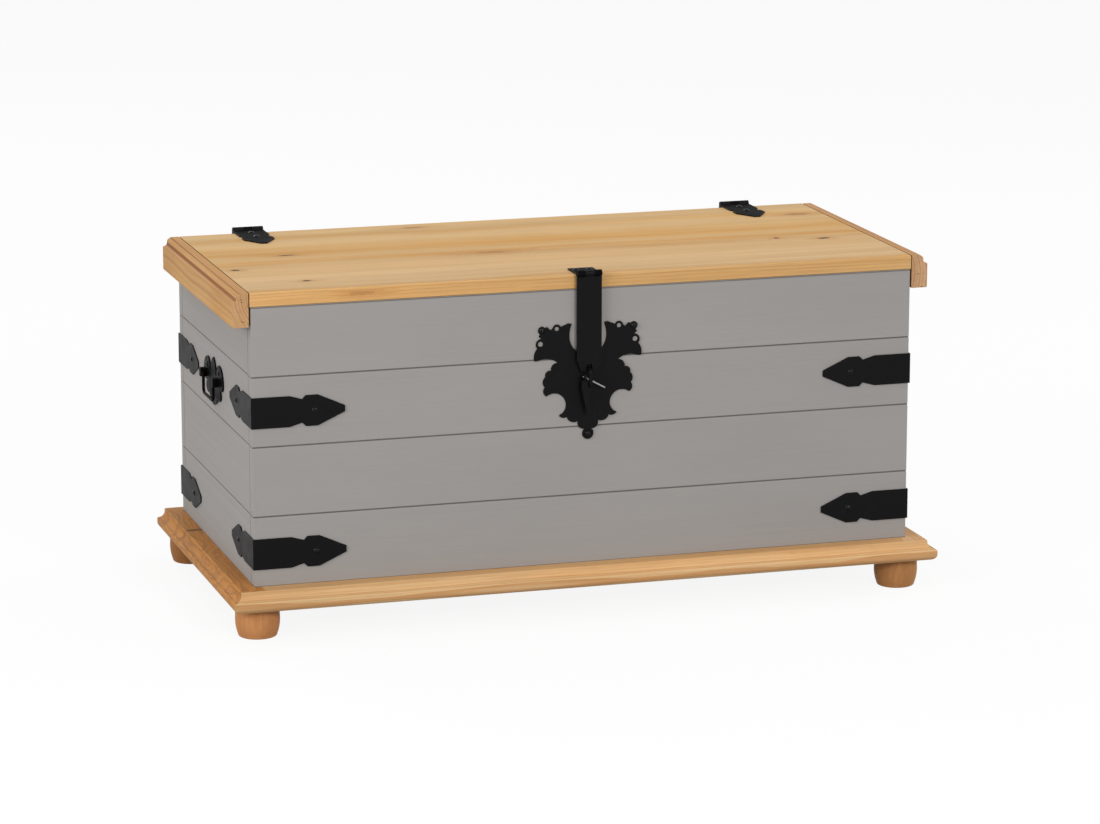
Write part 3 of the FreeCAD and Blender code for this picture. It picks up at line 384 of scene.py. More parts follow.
def make_brushed_paint():
    """A matt film of paint: brush lines with the grain, cloudy tone, the wood's figure just showing, and
    painted shade in the joints.
    """
    masks = sockets(PLACE, "Place") + sockets(VALUE, "Late", "Fibre", "Joint Shade", "Seed")
    colours = sockets(TINT, "Body Colour", "Thin Colour", "Joint Shade Colour")
    tree, taken, given = new_group("brushed paint", masks + colours, COAT)
    place = seeded(tree, taken["Place"], taken["Seed"])
    brush = noise(tree, place, (2.4, 330.0, 330.0), 3.0, 0.6)["Fac"]
    cloud = noise(tree, place, (3.5, 11.0, 11.0), 3.0)["Fac"]
    thin = maths(tree, "ADD", ramp(tree, brush, (0.45, 0.75), (0.0, 0.1)),
                 maths(tree, "MULTIPLY", taken["Late"], 0.02))
    colour = mixed(tree, thin, taken["Body Colour"], taken["Thin Colour"])
    light = maths(tree, "MULTIPLY", ramp(tree, cloud, (0.25, 0.75), (0.975, 1.02)),
                  ramp(tree, taken["Fibre"], (0.2, 0.8), (0.985, 1.015)))
    colour = put(tree, "ShaderNodeHueSaturation", {"Value": light, "Color": colour}).outputs[0]
    # Painted shade: the joints and the rim under the lid are darkened towards the joint shade colour
    colour = mixed(tree, taken["Joint Shade"], colour, taken["Joint Shade Colour"])
    rough = maths(tree, "ADD", ramp(tree, brush, (0.25, 0.75), (0.56, 0.68)),
                  ramp(tree, cloud, (0.3, 0.7), (-0.03, 0.03)))
    height = maths(tree, "ADD", maths(tree, "MULTIPLY", brush, 0.6),
                   maths(tree, "MULTIPLY", taken["Late"], 0.12))
    height = maths(tree, "ADD", height, maths(tree, "MULTIPLY", taken["Fibre"], 0.25))
    hand_out(tree, given, {"Color": colour, "Roughness": rough, "Height": height})
    return tree


def make_iron_skin():
    """Sheet iron under thin black lacquer: mottled gloss, rubbed patches and a fine peel."""
    takes = sockets(PLACE, "Place") + sockets(TINT, "Dark Colour", "Worn Colour")
    takes += sockets(VALUE, "Smooth Roughness", "Dull Roughness")
    tree, taken, given = new_group("iron skin", takes, COAT)
    mottle = noise(tree, taken["Place"], (38.0, 38.0, 38.0), 4.0, 0.6)["Fac"]
    peel = noise(tree, taken["Place"], (700.0, 700.0, 700.0))["Fac"]
    rub = noise(tree, taken["Place"], (160.0, 160.0, 160.0), 3.0, 0.7)["Fac"]
    worn = maths(tree, "MULTIPLY", ramp(tree, mottle, (0.4, 0.75)), ramp(tree, rub, (0.45, 0.7)))
    colour = mixed(tree, worn, taken["Dark Colour"], taken["Worn Colour"])
    wired = {"Value": mottle, "From Min": 0.25, "From Max": 0.75, "To Min": taken["Smooth Roughness"],
             "To Max": taken["Dull Roughness"]}
    rough = put(tree, "ShaderNodeMapRange", wired).outputs[0]
    height = maths(tree, "ADD", maths(tree, "MULTIPLY", peel, 0.5), maths(tree, "MULTIPLY", mottle, 0.9))
    hand_out(tree, given, {"Color": colour, "Roughness": rough, "Height": height})
    return tree


GROWTH_RINGS = make_growth_rings()
KNOT = make_knot()
HEART_BAND = make_heart_band()
END_GRAIN = make_end_grain()
PINE_FINISH = make_pine_finish()
BRUSHED_PAINT = make_brushed_paint()
IRON_SKIN = make_iron_skin()


# Finishes


def place_group(tree, group, wired):
    return put(tree, "ShaderNodeGroup", wired, node_tree=group).outputs


def new_finish(name):
    """An empty material with its shader, and the piece's own coordinates."""
    finish = bpy.data.materials.new(name)
    finish.use_nodes = True
    tree = finish.node_tree
    tree.nodes.clear()
    skin = put(tree, "ShaderNodeBsdfPrincipled")
    put(tree, "ShaderNodeOutputMaterial", {"Surface": skin.outputs[0]})
    where = put(tree, "ShaderNodeTexCoord").outputs
    return finish, tree, skin, where


def cover(tree, skin, coat, relief, gloss):
    """Wires a finish's colour, roughness and height to its shader, and sets how far light glances off it."""
    tree.links.new(coat["Color"], skin.inputs["Base Color"])
    tree.links.new(coat["Roughness"], skin.inputs["Roughness"])
    bump = put(tree, "ShaderNodeBump", {"Strength": 1.0, "Distance": relief, "Height": coat["Height"]})
    tree.links.new(bump.outputs[0], skin.inputs["Normal"])
    skin.inputs["Specular IOR Level"].default_value = gloss


def pine(name, turn, pith, ring_width, seed, early, late, heart, band, knots=(), wander=0.012, figure=0.5,
         curl=0.0):
    """Clear pine for one board, with places in metres along and across its grain.

    The band is the line and half width of its heartwood. A knot has a centre, a shape, which draws it out
    along an axis by a small number and right through the board by 0, a radius and a depth of colour. Curl is
    how far wild grain sways the rings, as under a moulding cut from a knotty board."""
    finish, tree, skin, where = new_finish(name)
    place = put(tree, "ShaderNodeMapping", {"Vector": where["Object"], "Rotation": turn}).outputs[0]
    wired = {"Vector": where["Normal"], "Rotation": turn}
    facing = put(tree, "ShaderNodeMapping", wired, vector_type="NORMAL").outputs[0]
    core, halo, push = 0.0, 0.0, 0.0
    for centre, shape, radius, depth in knots:
        wired = {"Place": place, "Centre": centre, "Shape": shape, "Radius": radius, "Depth": depth,
                 "Core": core, "Halo": halo, "Push": push}
        marks = place_group(tree, KNOT, wired)
        core, halo, push = marks["Core"], marks["Halo"], marks["Push"]
    if curl:
        sway = noise(tree, place, (13.0, 26.0, 26.0), 1.5)["Fac"]
        push = maths(tree, "ADD", push, ramp(tree, sway, (0.2, 0.8), (-curl, curl)))
    wired = {"Place": place, "Pith": pith, "Ring Width": ring_width, "Wander": wander, "Push": push,
             "Seed": seed}
    rings = place_group(tree, GROWTH_RINGS, wired)
    wired = {"Place": place, "Line": band[0], "Half Width": band[1], "Seed": seed}
    heartwood = place_group(tree, HEART_BAND, wired)
    ends = place_group(tree, END_GRAIN, {"Place": place, "Facing": facing, "Grain": (1.0, 0.0, 0.0)})
    wired = {"Late": rings["Late"], "Fibre": rings["Fibre"], "Tone": rings["Tone"], "Fleck": rings["Fleck"],
             "Heart": heartwood["Heart"], "Core": core, "Halo": halo, "End": ends["End"],
             "Crack": ends["Crack"], "Early Colour": tint(*early), "Late Colour": tint(*late),
             "Heart Colour": tint(*heart), "Knot Colour": tint(*KNOT_COLOUR), "Figure": figure}
    cover(tree, skin, place_group(tree, PINE_FINISH, wired), PINE_RELIEF, PINE_GLOSS)
    return finish


def bare_pine(name, turn, seed, early):
    """The unpainted pine inside the chest."""
    return pine(name, turn, (0.0, 0.1, 0.1), 0.0043, seed, early, (196, 150, 102), (208, 172, 128),
                (0.0, 0.2), wander=0.03, figure=0.55)


def grey_paint(name, turn):
    """The walls' grey paint. A board's height tells its figure, and painted shade darkens its joints, the
    lines where the end boards meet the front and back, and the rim under the lid.
    """
    finish, tree, skin, where = new_finish(name)
    place = put(tree, "ShaderNodeMapping", {"Vector": where["Object"], "Rotation": turn}).outputs[0]
    apart = put(tree, "ShaderNodeSeparateXYZ", {0: where["Object"]}).outputs
    boards = maths(tree, "DIVIDE", maths(tree, "SUBTRACT", apart["Z"], WALL_FOOT), BOARD_PITCH)
    row = maths(tree, "FLOOR", boards)
    from_joint = maths(tree, "MULTIPLY", maths(tree, "PINGPONG", boards, 0.5), BOARD_PITCH)
    # Painted shade: darker in the V-grooves between boards, under the lid, and at the lines where the end
    # boards meet the front and back walls; it fades out at the rim
    joint_shade = ramp(tree, from_joint, (0.0003, 0.0014), (0.62, 0.0))
    joint_shade = maths(tree, "MAXIMUM", joint_shade, ramp(tree, apart["Z"], UNDER_LID_SHADE, (0.0, 0.85)))
    for lap in LAP_LINES:
        from_lap = maths(tree, "ABSOLUTE", maths(tree, "SUBTRACT", apart["Y"], lap))
        joint_shade = maths(tree, "MAXIMUM", joint_shade, ramp(tree, from_lap, (0.0005, 0.0018), (0.55, 0.0)))
    joint_shade = maths(tree, "MULTIPLY", joint_shade, ramp(tree, apart["Z"], WALL_RIM, (1.0, 0.0)))
    wired = {"Place": place, "Pith": (0.0, 0.03, 0.2), "Ring Width": 0.0034, "Wander": 0.03, "Push": 0.0,
             "Seed": row}
    rings = place_group(tree, GROWTH_RINGS, wired)
    wired = {"Place": place, "Late": rings["Late"], "Fibre": rings["Fibre"], "Joint Shade": joint_shade, "Seed": row,
             "Body Colour": tint(*PAINT_BODY), "Thin Colour": tint(*PAINT_THIN),
             "Joint Shade Colour": tint(*PAINT_JOINT_SHADE)}
    cover(tree, skin, place_group(tree, BRUSHED_PAINT, wired), PAINT_RELIEF, PAINT_GLOSS)
    return finish


def metal(name, dark, worn, roughness, relief, gloss, bare=0.0):
    """Lacquered iron, or bare metal."""
    finish, tree, skin, where = new_finish(name)
    wired = {"Place": where["Object"], "Dark Colour": tint(*dark), "Worn Colour": tint(*worn),
             "Smooth Roughness": roughness[0], "Dull Roughness": roughness[1]}
    cover(tree, skin, place_group(tree, IRON_SKIN, wired), relief, gloss)
    skin.inputs["Metallic"].default_value = bare
    return finish


LID_PINE = {
    1: pine("lid pine front", ALONG_X, (0.0, -0.16, 0.38), 0.0036, 1.0, (207, 172, 124), (186, 135, 76),
            (200, 154, 92), (-0.205, 0.02),
            [((-0.3728, -0.153, 0.47), (0.6, 1.0, 0.0), 0.0044, 1.0)]),
    2: pine("lid pine second", ALONG_X, (0.0, -0.03, 0.4), 0.0039, 2.0, (205, 168, 116), (184, 129, 68),
            (196, 146, 74), (-0.018, 0.036),
            [((-0.4475, -0.0536, 0.47), (0.6, 1.0, 0.0), 0.0045, 1.0),
             ((0.3332, -0.0372, 0.47), (1.0, 1.0, 0.0), 0.0042, 0.9),
             ((0.3977, -0.0569, 0.47), (0.45, 1.0, 0.0), 0.0046, 1.0),
             ((-0.0786, -0.0241, 0.47), (0.3, 1.0, 0.0), 0.007, 0.3)]),
    3: pine("lid pine third", ALONG_X, (0.0, 0.07, 0.41), 0.0035, 3.0, (204, 167, 112), (182, 127, 66),
            (195, 145, 70), (0.062, 0.042),
            [((-0.3559, 0.0337, 0.47), (0.25, 1.0, 0.0), 0.0034, 0.85)]),
    4: pine("lid pine rear", ALONG_X, (0.0, 0.19, 0.37), 0.004, 4.0, (206, 171, 119), (186, 135, 74),
            (200, 155, 90), (0.15, 0.03),
            [((0.4281, 0.136, 0.47), (0.3, 0.7, 0.0), 0.006, 0.4),
             ((-0.133, 0.191, 0.47), (0.35, 1.0, 0.0), 0.005, 0.35)]),
}
LID_EDGE_PINE = pine(
    "lid front edge pine", ALONG_X, (0.0, -0.28, 0.38), 0.0044, 12.0, (214, 174, 119), (187, 131, 76),
    (208, 162, 104), (-0.2155, 0.05), [((-0.312, -0.2155, 0.462), (0.14, 0.0, 1.0), 0.0026, 0.2)],
    wander=0.014)
# Painted shade: a near-black pine for the lid boards' end faces, seen only as the dark gaps by the battens
GAP_SHADE_PINE = pine(
    "lid gap painted shade pine", ALONG_X, (0.0, 0.0, 0.4), 0.004, 14.0, (62, 40, 25), (46, 29, 18), (56, 36, 22),
    (0.0, 0.3))
BATTEN_PINE = {
    "left": pine("batten pine left", ALONG_Y, (0.0, 0.42, 0.47), 0.004, 5.0, (191, 147, 90), (154, 101, 50),
                 (182, 133, 74), (0.478, 0.02), wander=0.02, figure=0.6),
    "right": pine("batten pine right", ALONG_Y, (0.0, -0.42, 0.45), 0.0042, 6.0, (197, 150, 97),
                  (158, 104, 54), (182, 134, 82), (-0.478, 0.02), wander=0.02, figure=0.6),
}
# Painted shade: a darker pine for the batten's hollow and upper step, where shade falls on the moulding
BATTEN_SHADE_PINE = pine(
    "batten hollow painted shade pine", ALONG_Y, (0.0, 0.3, 0.47), 0.004, 15.0, (142, 94, 52), (100, 62, 32), (128, 82, 44),
    (0.478, 0.03), wander=0.02, figure=0.6)
PLINTH_BOARD_PINE = pine(
    "plinth board pine", ALONG_X, (0.0, 0.1, -0.05), 0.0046, 20.0, (207, 164, 114), (176, 122, 70),
    (198, 150, 98), (0.24, 0.06), wander=0.03, figure=0.6)
PLINTH_FRONT_PINE = pine(
    "plinth front pine", ALONG_X, (0.0, -0.32, 0.03), 0.0044, 58.0, (214, 176, 128), (184, 122, 67),
    (207, 160, 106), (-0.235, 0.03), wander=0.02, figure=0.62)
PLINTH_END_PINE = {
    "left": pine("plinth left end pine", ALONG_Y, (0.0, 0.43, 0.03), 0.0078, 13.0, (187, 129, 62),
                 (130, 80, 33), (174, 116, 54), (0.475, 0.03),
                 [((0.1121, 0.4747, 0.071), (1.0, 0.22, 0.0), 0.003, 1.0)], wander=0.03, figure=0.58,
                 curl=0.012),
    "right": pine("plinth right end pine", ALONG_Y, (0.0, -0.43, 0.03), 0.0052, 16.0, (213, 172, 124),
                  (180, 124, 70), (203, 156, 102), (-0.475, 0.03), wander=0.03, figure=0.6, curl=0.004),
}

# Each foot's pith, ring width, seed, and the colours of its early wood, late wood and heart. The back left
# foot's darker colours are painted shade from under the plinth, and the front right foot's are partly its own
# tone and partly painted shade.
FOOT_TIMBER_AND_SHADE = {
    "front_left": ((0.0, 0.6, 0.9), 0.0075, 8.0, (200, 142, 92), (178, 118, 68), (190, 130, 80)),
    "front_right": ((0.0, 0.5, 0.8), 0.008, 17.0, (178, 128, 82), (154, 104, 60), (168, 116, 70)),
    "back_left": ((0.0, 0.7, 0.6), 0.0075, 18.0, (161, 110, 64), (137, 88, 46), (151, 100, 55)),
    "back_right": ((0.0, 0.6, 0.7), 0.0078, 19.0, (186, 132, 84), (160, 108, 62), (176, 122, 74)),
}
FOOT_PINE = {}
for corner, timber_and_shade in FOOT_TIMBER_AND_SHADE.items():
    FOOT_PINE[corner] = pine(corner.replace("_", " ") + " foot pine", ALONG_Z, *timber_and_shade, (0.0, 0.6),
                             wander=0.05, figure=0.4, curl=0.006)

BARE_PINE = bare_pine("bare inside pine", ALONG_X, 9.0, (214, 184, 146))
BARE_PINE_ACROSS = bare_pine("bare inside pine across", ALONG_Y, 10.0, (213, 183, 146))
BARE_PINE_UPRIGHT = bare_pine("bare post pine", ALONG_Z, 11.0, (213, 183, 146))
PAINT_LENGTHWAYS = grey_paint("grey paint lengthways", ALONG_X)
PAINT_ACROSS = grey_paint("grey paint across", ALONG_Y)
BLACK_IRON = metal("black iron", (9, 8, 10), (17, 16, 17), (0.44, 0.58), 0.0001, 0.09)
MATT_IRON = metal("black iron matt", (13, 12, 14), (20, 19, 20), (0.5, 0.64), 0.0001, 0.015)
HANDLE_IRON = metal("black iron handle", (8, 7, 7), (15, 14, 13), (0.44, 0.58), 0.0001, 0.045)
RUBBED_IRON = metal("black iron rubbed edge", (16, 15, 16), (34, 32, 31), (0.36, 0.5), 0.00006, 0.12)
NAIL_IRON = metal("black iron nail head", (8, 8, 9), (16, 15, 16), (0.06, 0.1), 0.00002, 0.14)
SCREW_IRON = metal("black iron screw head", (9, 9, 10), (24, 23, 24), (0.06, 0.12), 0.00002, 0.13)
BRIGHT_STEEL = metal("bright steel", (150, 150, 152), (205, 205, 207), (0.22, 0.4), 0.00004, 0.5, bare=1.0)


# Shaping


def pick(piece):
    """Selects one piece alone and makes it active."""
    bpy.ops.object.select_all(action="DESELECT")
    piece.select_set(True)
    bpy.context.view_layer.objects.active = piece


def settle(piece, body, slot_name, *nodes):
    """Hands a finished piece to its body, in place of the nodes that it stands for."""
    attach(piece, body)
    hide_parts(*nodes)


def body_of_node(node):
    return frame["nodes"][node]["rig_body"]


def copy_of_node(node, ending):
    """A copy of a node to work on, picked."""
    piece = bpy.data.objects.new(node + ending, frame["nodes"][node].data.copy())
    bpy.context.scene.collection.objects.link(piece)
    pick(piece)
    return piece


def eased_copy(node, width, finishes, slot_name, cuts=(), only=None, worn_edges=False):
    """A copy of a node with its arrises eased, as plane, sandpaper or file would leave them.

    The cuts part its faces along planes, and only, where given, chooses the edges by their middle. Worn edges
    take the second finish."""
    piece = copy_of_node(node, "_eased")
    bpy.ops.object.mode_set(mode="EDIT")
    bpy.ops.mesh.select_all(action="SELECT")
    bpy.ops.mesh.customdata_custom_splitnormals_clear()
    bpy.ops.mesh.remove_doubles(threshold=MERGE_DISTANCE)
    bpy.ops.mesh.dissolve_limited(angle_limit=FLAT_ANGLE)
    for place, facing in cuts:
        bpy.ops.mesh.select_all(action="SELECT")
        bpy.ops.mesh.bisect(plane_co=place, plane_no=facing)
    bpy.ops.object.mode_set(mode="OBJECT")
    piece.data.materials.clear()
    for finish in finishes:
        piece.data.materials.append(finish)
    ease = piece.modifiers.new("eased edges", "BEVEL")
    ease.width = width
    ease.segments = EASE_STEPS
    ease.limit_method = "ANGLE"
    ease.angle_limit = EASE_ANGLE
    ease.use_clamp_overlap = False
    ease.loop_slide = False
    ease.harden_normals = True
    if worn_edges:
        ease.material = 1
    if only:
        ease.limit_method = "WEIGHT"
        weights = piece.data.attributes.new("bevel_weight_edge", "FLOAT", "EDGE")
        points = piece.data.vertices
        for edge in piece.data.edges:
            middle = (points[edge.vertices[0]].co + points[edge.vertices[1]].co) / 2
            weights.data[edge.index].value = 1.0 if only(middle) else 0.0
    bpy.ops.object.modifier_apply(modifier=ease.name)
    settle(piece, body_of_node(node), slot_name, node)
    return piece


def dress(node, finish):
    """Keeps a node's own shape and gives it a finish."""
    shown = frame["nodes"][node]
    for place in shown.material_slots:
        place.material = finish


def make_walls():
    """Boards painted outside and bare inside."""
    inward = {"front": (0, 1), "back": (0, -1), "left": (1, 0), "right": (-1, 0)}
    for side, (x_in, y_in) in inward.items():
        lengthways = side in ("front", "back")
        paint = PAINT_LENGTHWAYS if lengthways else PAINT_ACROSS
        inside = BARE_PINE if lengthways else BARE_PINE_ACROSS
        for row in range(1, 5):
            board = eased_copy(f"{side}_board_{row}", WALL_EASE, [paint, inside], "grey_paint")
            for face in board.data.polygons:
                if face.normal.x * x_in + face.normal.y * y_in > INSIDE_FACING:
                    face.material_index = 1
    dress("corner_posts", BARE_PINE_UPRIGHT)


def lid_arris(middle):
    """The lid's arrises that are eased: along the ends by the battens. The front is rounded already."""
    return abs(middle.x) > LID_END_X and middle.z > LID_TOP_Z


def make_lid():
    """Glued boards with painted shade on their end faces in the gaps by the battens, and two moulded battens
    with painted shade in their hollows and steps.
    """
    for row in range(1, 5):
        finishes = [LID_PINE[row], GAP_SHADE_PINE, LID_EDGE_PINE]
        board = eased_copy(f"lid_board_{row}", LID_EASE, finishes, "clear_pine", only=lid_arris)
        for face in board.data.polygons:
            # The end faces in the gaps by the battens take painted shade
            if abs(face.normal.x) > JOINT_FACING:
                face.material_index = 1
            elif row == 1 and face.normal.y < -LID_EDGE_FACING:
                face.material_index = 2
    for side in ("left", "right"):
        finishes = [BATTEN_PINE[side], BATTEN_SHADE_PINE]
        batten = eased_copy(f"lid_batten_{side}", BATTEN_EASE, finishes, "clear_pine")
        for face in batten.data.polygons:
            outward = abs(face.normal.x)
            # The hollow and the upper step take painted shade
            hollow = outward > HOLLOW_FACING and HOLLOW_FOOT_Z < face.center.z < HOLLOW_HEAD_Z
            step = outward > STEP_FACING and face.center.z > STEP_FOOT_Z and abs(face.center.x) > STEP_X
            if hollow or step:
                face.material_index = 1
    dress("batten_dowels", BARE_PINE)


def make_base():
    """The plinth's front and end mouldings are of different timber and meet in mitres."""
    low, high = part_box("plinth_board")
    cuts = [((0.0, low[1] + MOULDED_STRIP, 0.0), (0.0, 1.0, 0.0))]
    for side, end in ((-1.0, low[0]), (1.0, high[0])):
        cuts.append(((end, low[1], 0.0), (side, -1.0, 0.0)))
        cuts.append(((end - side * MOULDED_STRIP, 0.0, 0.0), (1.0, 0.0, 0.0)))
    finishes = [PLINTH_BOARD_PINE, PLINTH_FRONT_PINE, PLINTH_END_PINE["left"], PLINTH_END_PINE["right"]]
    plinth = eased_copy("plinth_board", PLINTH_EASE, finishes, "clear_pine", cuts)
    for face in plinth.data.polygons:
        from_front = face.center.y - low[1]
        from_end = high[0] - abs(face.center.x)
        if from_front < min(from_end, MOULDED_STRIP):
            face.material_index = 1
        elif from_end < MOULDED_STRIP:
            face.material_index = 2 if face.center.x < 0.0 else 3
    for corner, finish in FOOT_PINE.items():
        dress(f"bun_foot_{corner}", finish)


def select_lowest(piece):
    """Selects the faces of a piece that look straight down."""
    for face in piece.data.polygons:
        face.select = face.normal.z < -DOWN_FACING


def make_screw():
    """One dome-headed screw with a cross recess, its seat at the origin and its point down."""
    ball = (HEAD_RADIUS * HEAD_RADIUS + HEAD_RISE * HEAD_RISE) / (2 * HEAD_RISE)
    bpy.ops.object.select_all(action="DESELECT")
    bpy.ops.mesh.primitive_uv_sphere_add(segments=32, ring_count=40, radius=ball, location=(0.0, 0.0, 0.0))
    screw = bpy.context.active_object
    screw.name = "dome_screw"
    bpy.ops.object.mode_set(mode="EDIT")
    bpy.ops.mesh.select_all(action="SELECT")
    bpy.ops.transform.translate(value=(0.0, 0.0, HEAD_RISE - ball))
    bpy.ops.mesh.bisect(plane_co=(0.0, 0.0, 0.0), plane_no=(0.0, 0.0, 1.0), use_fill=True, clear_inner=True)
    bpy.ops.mesh.select_all(action="DESELECT")
    bpy.ops.object.mode_set(mode="OBJECT")
    select_lowest(screw)
    bpy.ops.object.mode_set(mode="EDIT")
    bpy.ops.mesh.inset(thickness=HEAD_RADIUS - SHANK_RADIUS)
    for share in (STRAIGHT_SHARE, POINT_SHARE):
        run = (0.0, 0.0, -share * SHANK_LENGTH)
        bpy.ops.mesh.extrude_region_move(TRANSFORM_OT_translate={"value": run})
    bpy.ops.transform.resize(value=(POINT_TAPER, POINT_TAPER, 1.0))
    bpy.ops.object.mode_set(mode="OBJECT")
    for across, along in ((RECESS_LENGTH, RECESS_WIDTH), (RECESS_WIDTH, RECESS_LENGTH)):
        bpy.ops.object.select_all(action="DESELECT")
        bpy.ops.mesh.primitive_cube_add(size=1.0, location=(0.0, 0.0, HEAD_RISE))
        cutter = bpy.context.active_object
        cutter.scale = (across, along, RECESS_HEIGHT)
        bpy.ops.object.transform_apply(location=True, rotation=True, scale=True)
        select_lowest(cutter)
        bpy.ops.object.mode_set(mode="EDIT")
        bpy.ops.transform.resize(value=(RECESS_TAPER, RECESS_TAPER, 1.0))
        bpy.ops.object.mode_set(mode="OBJECT")
        pick(screw)
        recess = screw.modifiers.new("cross recess", "BOOLEAN")
        recess.object = cutter
        recess.operation = "DIFFERENCE"
        bpy.ops.object.modifier_apply(modifier=recess.name)
        bpy.data.objects.remove(cutter)
    bpy.ops.object.shade_smooth_by_angle(angle=SMOOTH_ANGLE)
    screw.data.materials.append(SCREW_IRON)
    return screw


def seat_of_screw(corners):
    """Where a screw with these corners has its seat, and how it is turned."""
    seat = []
    for axis in range(3):
        reach = [corner[axis] for corner in corners]
        seat.append((min(reach) + max(reach)) / 2)
    for axis, way, least, turn in SCREWED_SIDES:
        top = max(way * corner[axis] for corner in corners)
        if top > least:
            seat[axis] = way * (top - HEAD_RISE)
            return seat, turn
    raise ValueError("a screw is driven into no side of the chest")


def screw_places(node):
    """The seat and turn of each of a node's screws."""
    copy_of_node(node, "_spare")
    bpy.ops.object.mode_set(mode="EDIT")
    bpy.ops.mesh.select_all(action="SELECT")
    bpy.ops.mesh.remove_doubles(threshold=MERGE_DISTANCE)
    bpy.ops.mesh.separate(type="LOOSE")
    bpy.ops.object.mode_set(mode="OBJECT")
    places = []
    for single in list(bpy.context.selected_objects):
        places.append(seat_of_screw([point.co for point in single.data.vertices]))
        bpy.data.objects.remove(single)
    return places


def drive_screws(screw, node):
    """Copies of the one screw, each with its cross left at another angle, in place of a node's screws."""
    driven = []
    for count, (seat, turn) in enumerate(screw_places(node)):
        copy = bpy.data.objects.new(f"{node}_{count}", screw.data.copy())
        bpy.context.scene.collection.objects.link(copy)
        pick(copy)
        copy.rotation_euler = (0.0, 0.0, math.radians(CROSS_STEP * count))
        bpy.ops.object.transform_apply(location=True, rotation=True, scale=True)
        copy.rotation_euler = turn
        copy.location = seat
        bpy.ops.object.transform_apply(location=True, rotation=True, scale=True)
        driven.append(copy)
    bpy.ops.object.select_all(action="DESELECT")
    for copy in driven:
        copy.select_set(True)
    bpy.context.view_layer.objects.active = driven[0]
    bpy.ops.object.join()
    driven[0].name = node + "_cross_headed"
    settle(driven[0], body_of_node(node), "black_iron", node)


def file_edges(nodes, finish, cuts=()):
    """Iron whose arrises are filed and rubbed."""
    for node in nodes:
        eased_copy(node, IRON_EASE, [finish, RUBBED_IRON], "black_iron", cuts, worn_edges=True)


def make_ironwork():
    """Straps, hinges, hasp, lock plate, handles and their screws."""
    for level in ("upper", "lower"):
        for end in ("front", "back"):
            file_edges([f"{level}_strap_{end}_left", f"{level}_strap_{end}_right"], BLACK_IRON)
    file_edges(["hinge_back_leaf_left", "hinge_back_leaf_right", "hasp_strap"], BLACK_IRON)
    file_edges(["lock_plate", "latch_peg"], BLACK_IRON)
    file_edges(["hinge_lid_leaf_left", "hinge_lid_leaf_right", "hasp_lid_leaf"], MATT_IRON)
    level_cut = [((0.0, 0.0, HANDLE_MIDDLE_Z), (0.0, 0.0, 1.0))]
    file_edges(["handle_plate_left", "handle_plate_right"], HANDLE_IRON, level_cut)
    for node in ("handle_bail_left", "handle_bail_right"):
        dress(node, HANDLE_IRON)
    for node in ("hinge_pins", "hasp_pin", "staple"):
        dress(node, BLACK_IRON)
    dress("lock_plate_nails", NAIL_IRON)
    dress("latch_pin", BRIGHT_STEEL)
    screw = make_screw()
    drive_screws(screw, "case_screws")
    drive_screws(screw, "lid_screws")
    bpy.data.objects.remove(screw)


# Stage, light and camera


def seen_directly(tree):
    """Whether the camera sees a place, straight or by way of gloss or glass."""
    path = put(tree, "ShaderNodeLightPath").outputs
    seen = maths(tree, "MAXIMUM", path["Is Camera Ray"], path["Is Glossy Ray"])
    return maths(tree, "MAXIMUM", seen, path["Is Transmission Ray"])


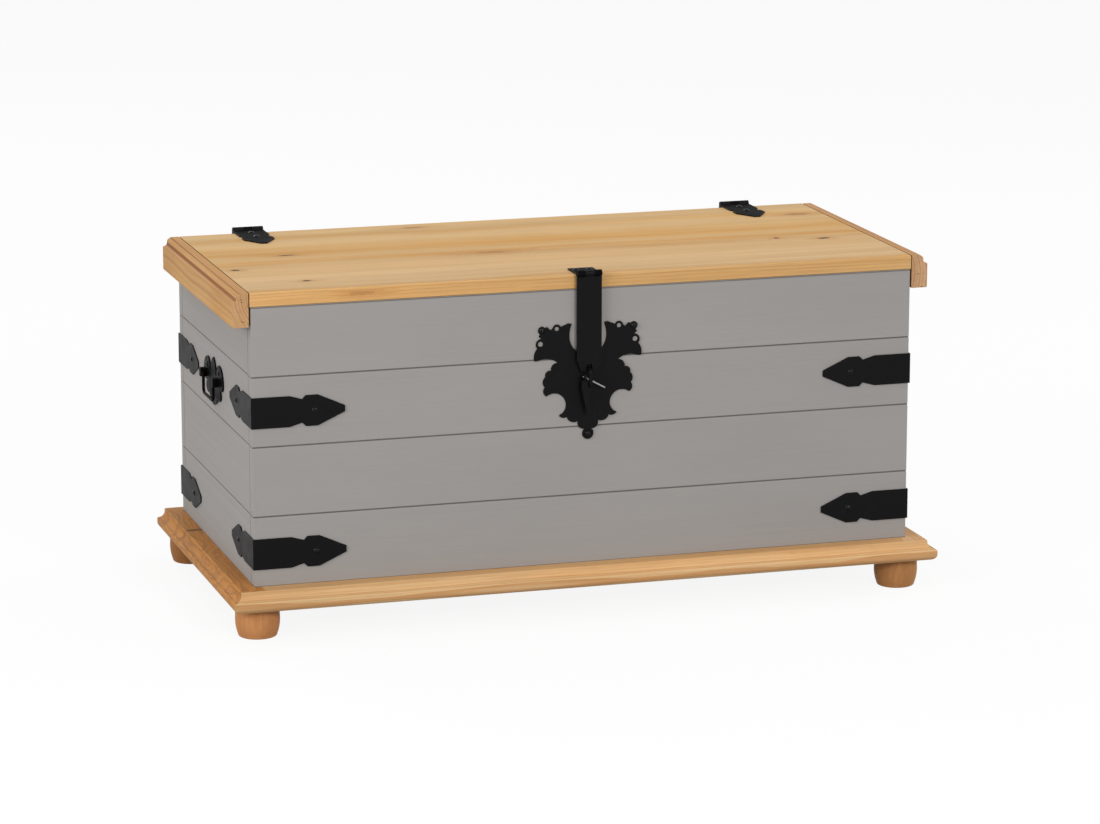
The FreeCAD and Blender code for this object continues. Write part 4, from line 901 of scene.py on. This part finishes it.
def make_floor():
    """A wide pale floor that fades into the white surround and keeps the chest's shadow."""
    bpy.ops.object.select_all(action="DESELECT")
    bpy.ops.mesh.primitive_plane_add(size=FLOOR_SIZE, location=(0.0, 0.0, 0.0))
    floor = bpy.context.active_object
    floor.name = "studio_floor"
    finish = bpy.data.materials.new("pale floor")
    finish.use_nodes = True
    tree = finish.node_tree
    tree.nodes.clear()
    seen = seen_directly(tree)
    cloth = put(tree, "ShaderNodeBsdfDiffuse", {"Color": mixed(tree, seen, FLOOR_GREY, FLOOR_PALE)})
    glow = put(tree, "ShaderNodeEmission", {"Color": WHITE, "Strength": 1.0})
    share = maths(tree, "MULTIPLY", seen, FLOOR_GLOW)
    blend = put(tree, "ShaderNodeMixShader", {0: share, 1: cloth.outputs[0], 2: glow.outputs[0]})
    put(tree, "ShaderNodeOutputMaterial", {"Surface": blend.outputs[0]})
    floor.data.materials.append(finish)


def make_surround():
    """White where it is seen, and a softer light on the chest."""
    world = bpy.data.worlds.new("white studio")
    world.use_nodes = True
    bpy.context.scene.world = world
    tree = world.node_tree
    tree.nodes.clear()
    ambient = put(tree, "ShaderNodeBackground", {"Color": WHITE, "Strength": AMBIENT})
    white = put(tree, "ShaderNodeBackground", {"Color": WHITE, "Strength": 1.0})
    wired = {0: seen_directly(tree), 1: ambient.outputs[0], 2: white.outputs[0]}
    blend = put(tree, "ShaderNodeMixShader", wired)
    put(tree, "ShaderNodeOutputWorld", {"Surface": blend.outputs[0]})


def make_lights():
    for name, (place, aim, size, energy) in LAMPS.items():
        lamp = bpy.data.lights.new(name, "AREA")
        lamp.shape = "RECTANGLE"
        lamp.size = size[0]
        lamp.size_y = size[1]
        lamp.energy = energy
        stand = bpy.data.objects.new(name, lamp)
        bpy.context.scene.collection.objects.link(stand)
        run = (aim[0] - place[0], aim[1] - place[1], aim[2] - place[2])
        stand.location = place
        flat = math.hypot(run[0], run[1])
        stand.rotation_euler = (math.atan2(flat, -run[2]), 0.0, math.atan2(-run[0], run[1]))


def make_camera():
    lens = bpy.data.cameras.new("photo view")
    lens.sensor_fit = "HORIZONTAL"
    lens.sensor_width = SENSOR
    lens.lens = LENS
    lens.clip_end = CAMERA_REACH
    stand = bpy.data.objects.new("photo view", lens)
    bpy.context.scene.collection.objects.link(stand)
    stand.location = CAMERA_PLACE
    stand.rotation_euler = (math.radians(90 - CAMERA_DIP), 0.0, math.radians(CAMERA_TURN))
    bpy.context.scene.camera = stand


make_walls()
make_lid()
make_base()
make_ironwork()
make_floor()
make_surround()
make_lights()
make_camera()
bpy.context.scene.view_settings.view_transform = "Standard"
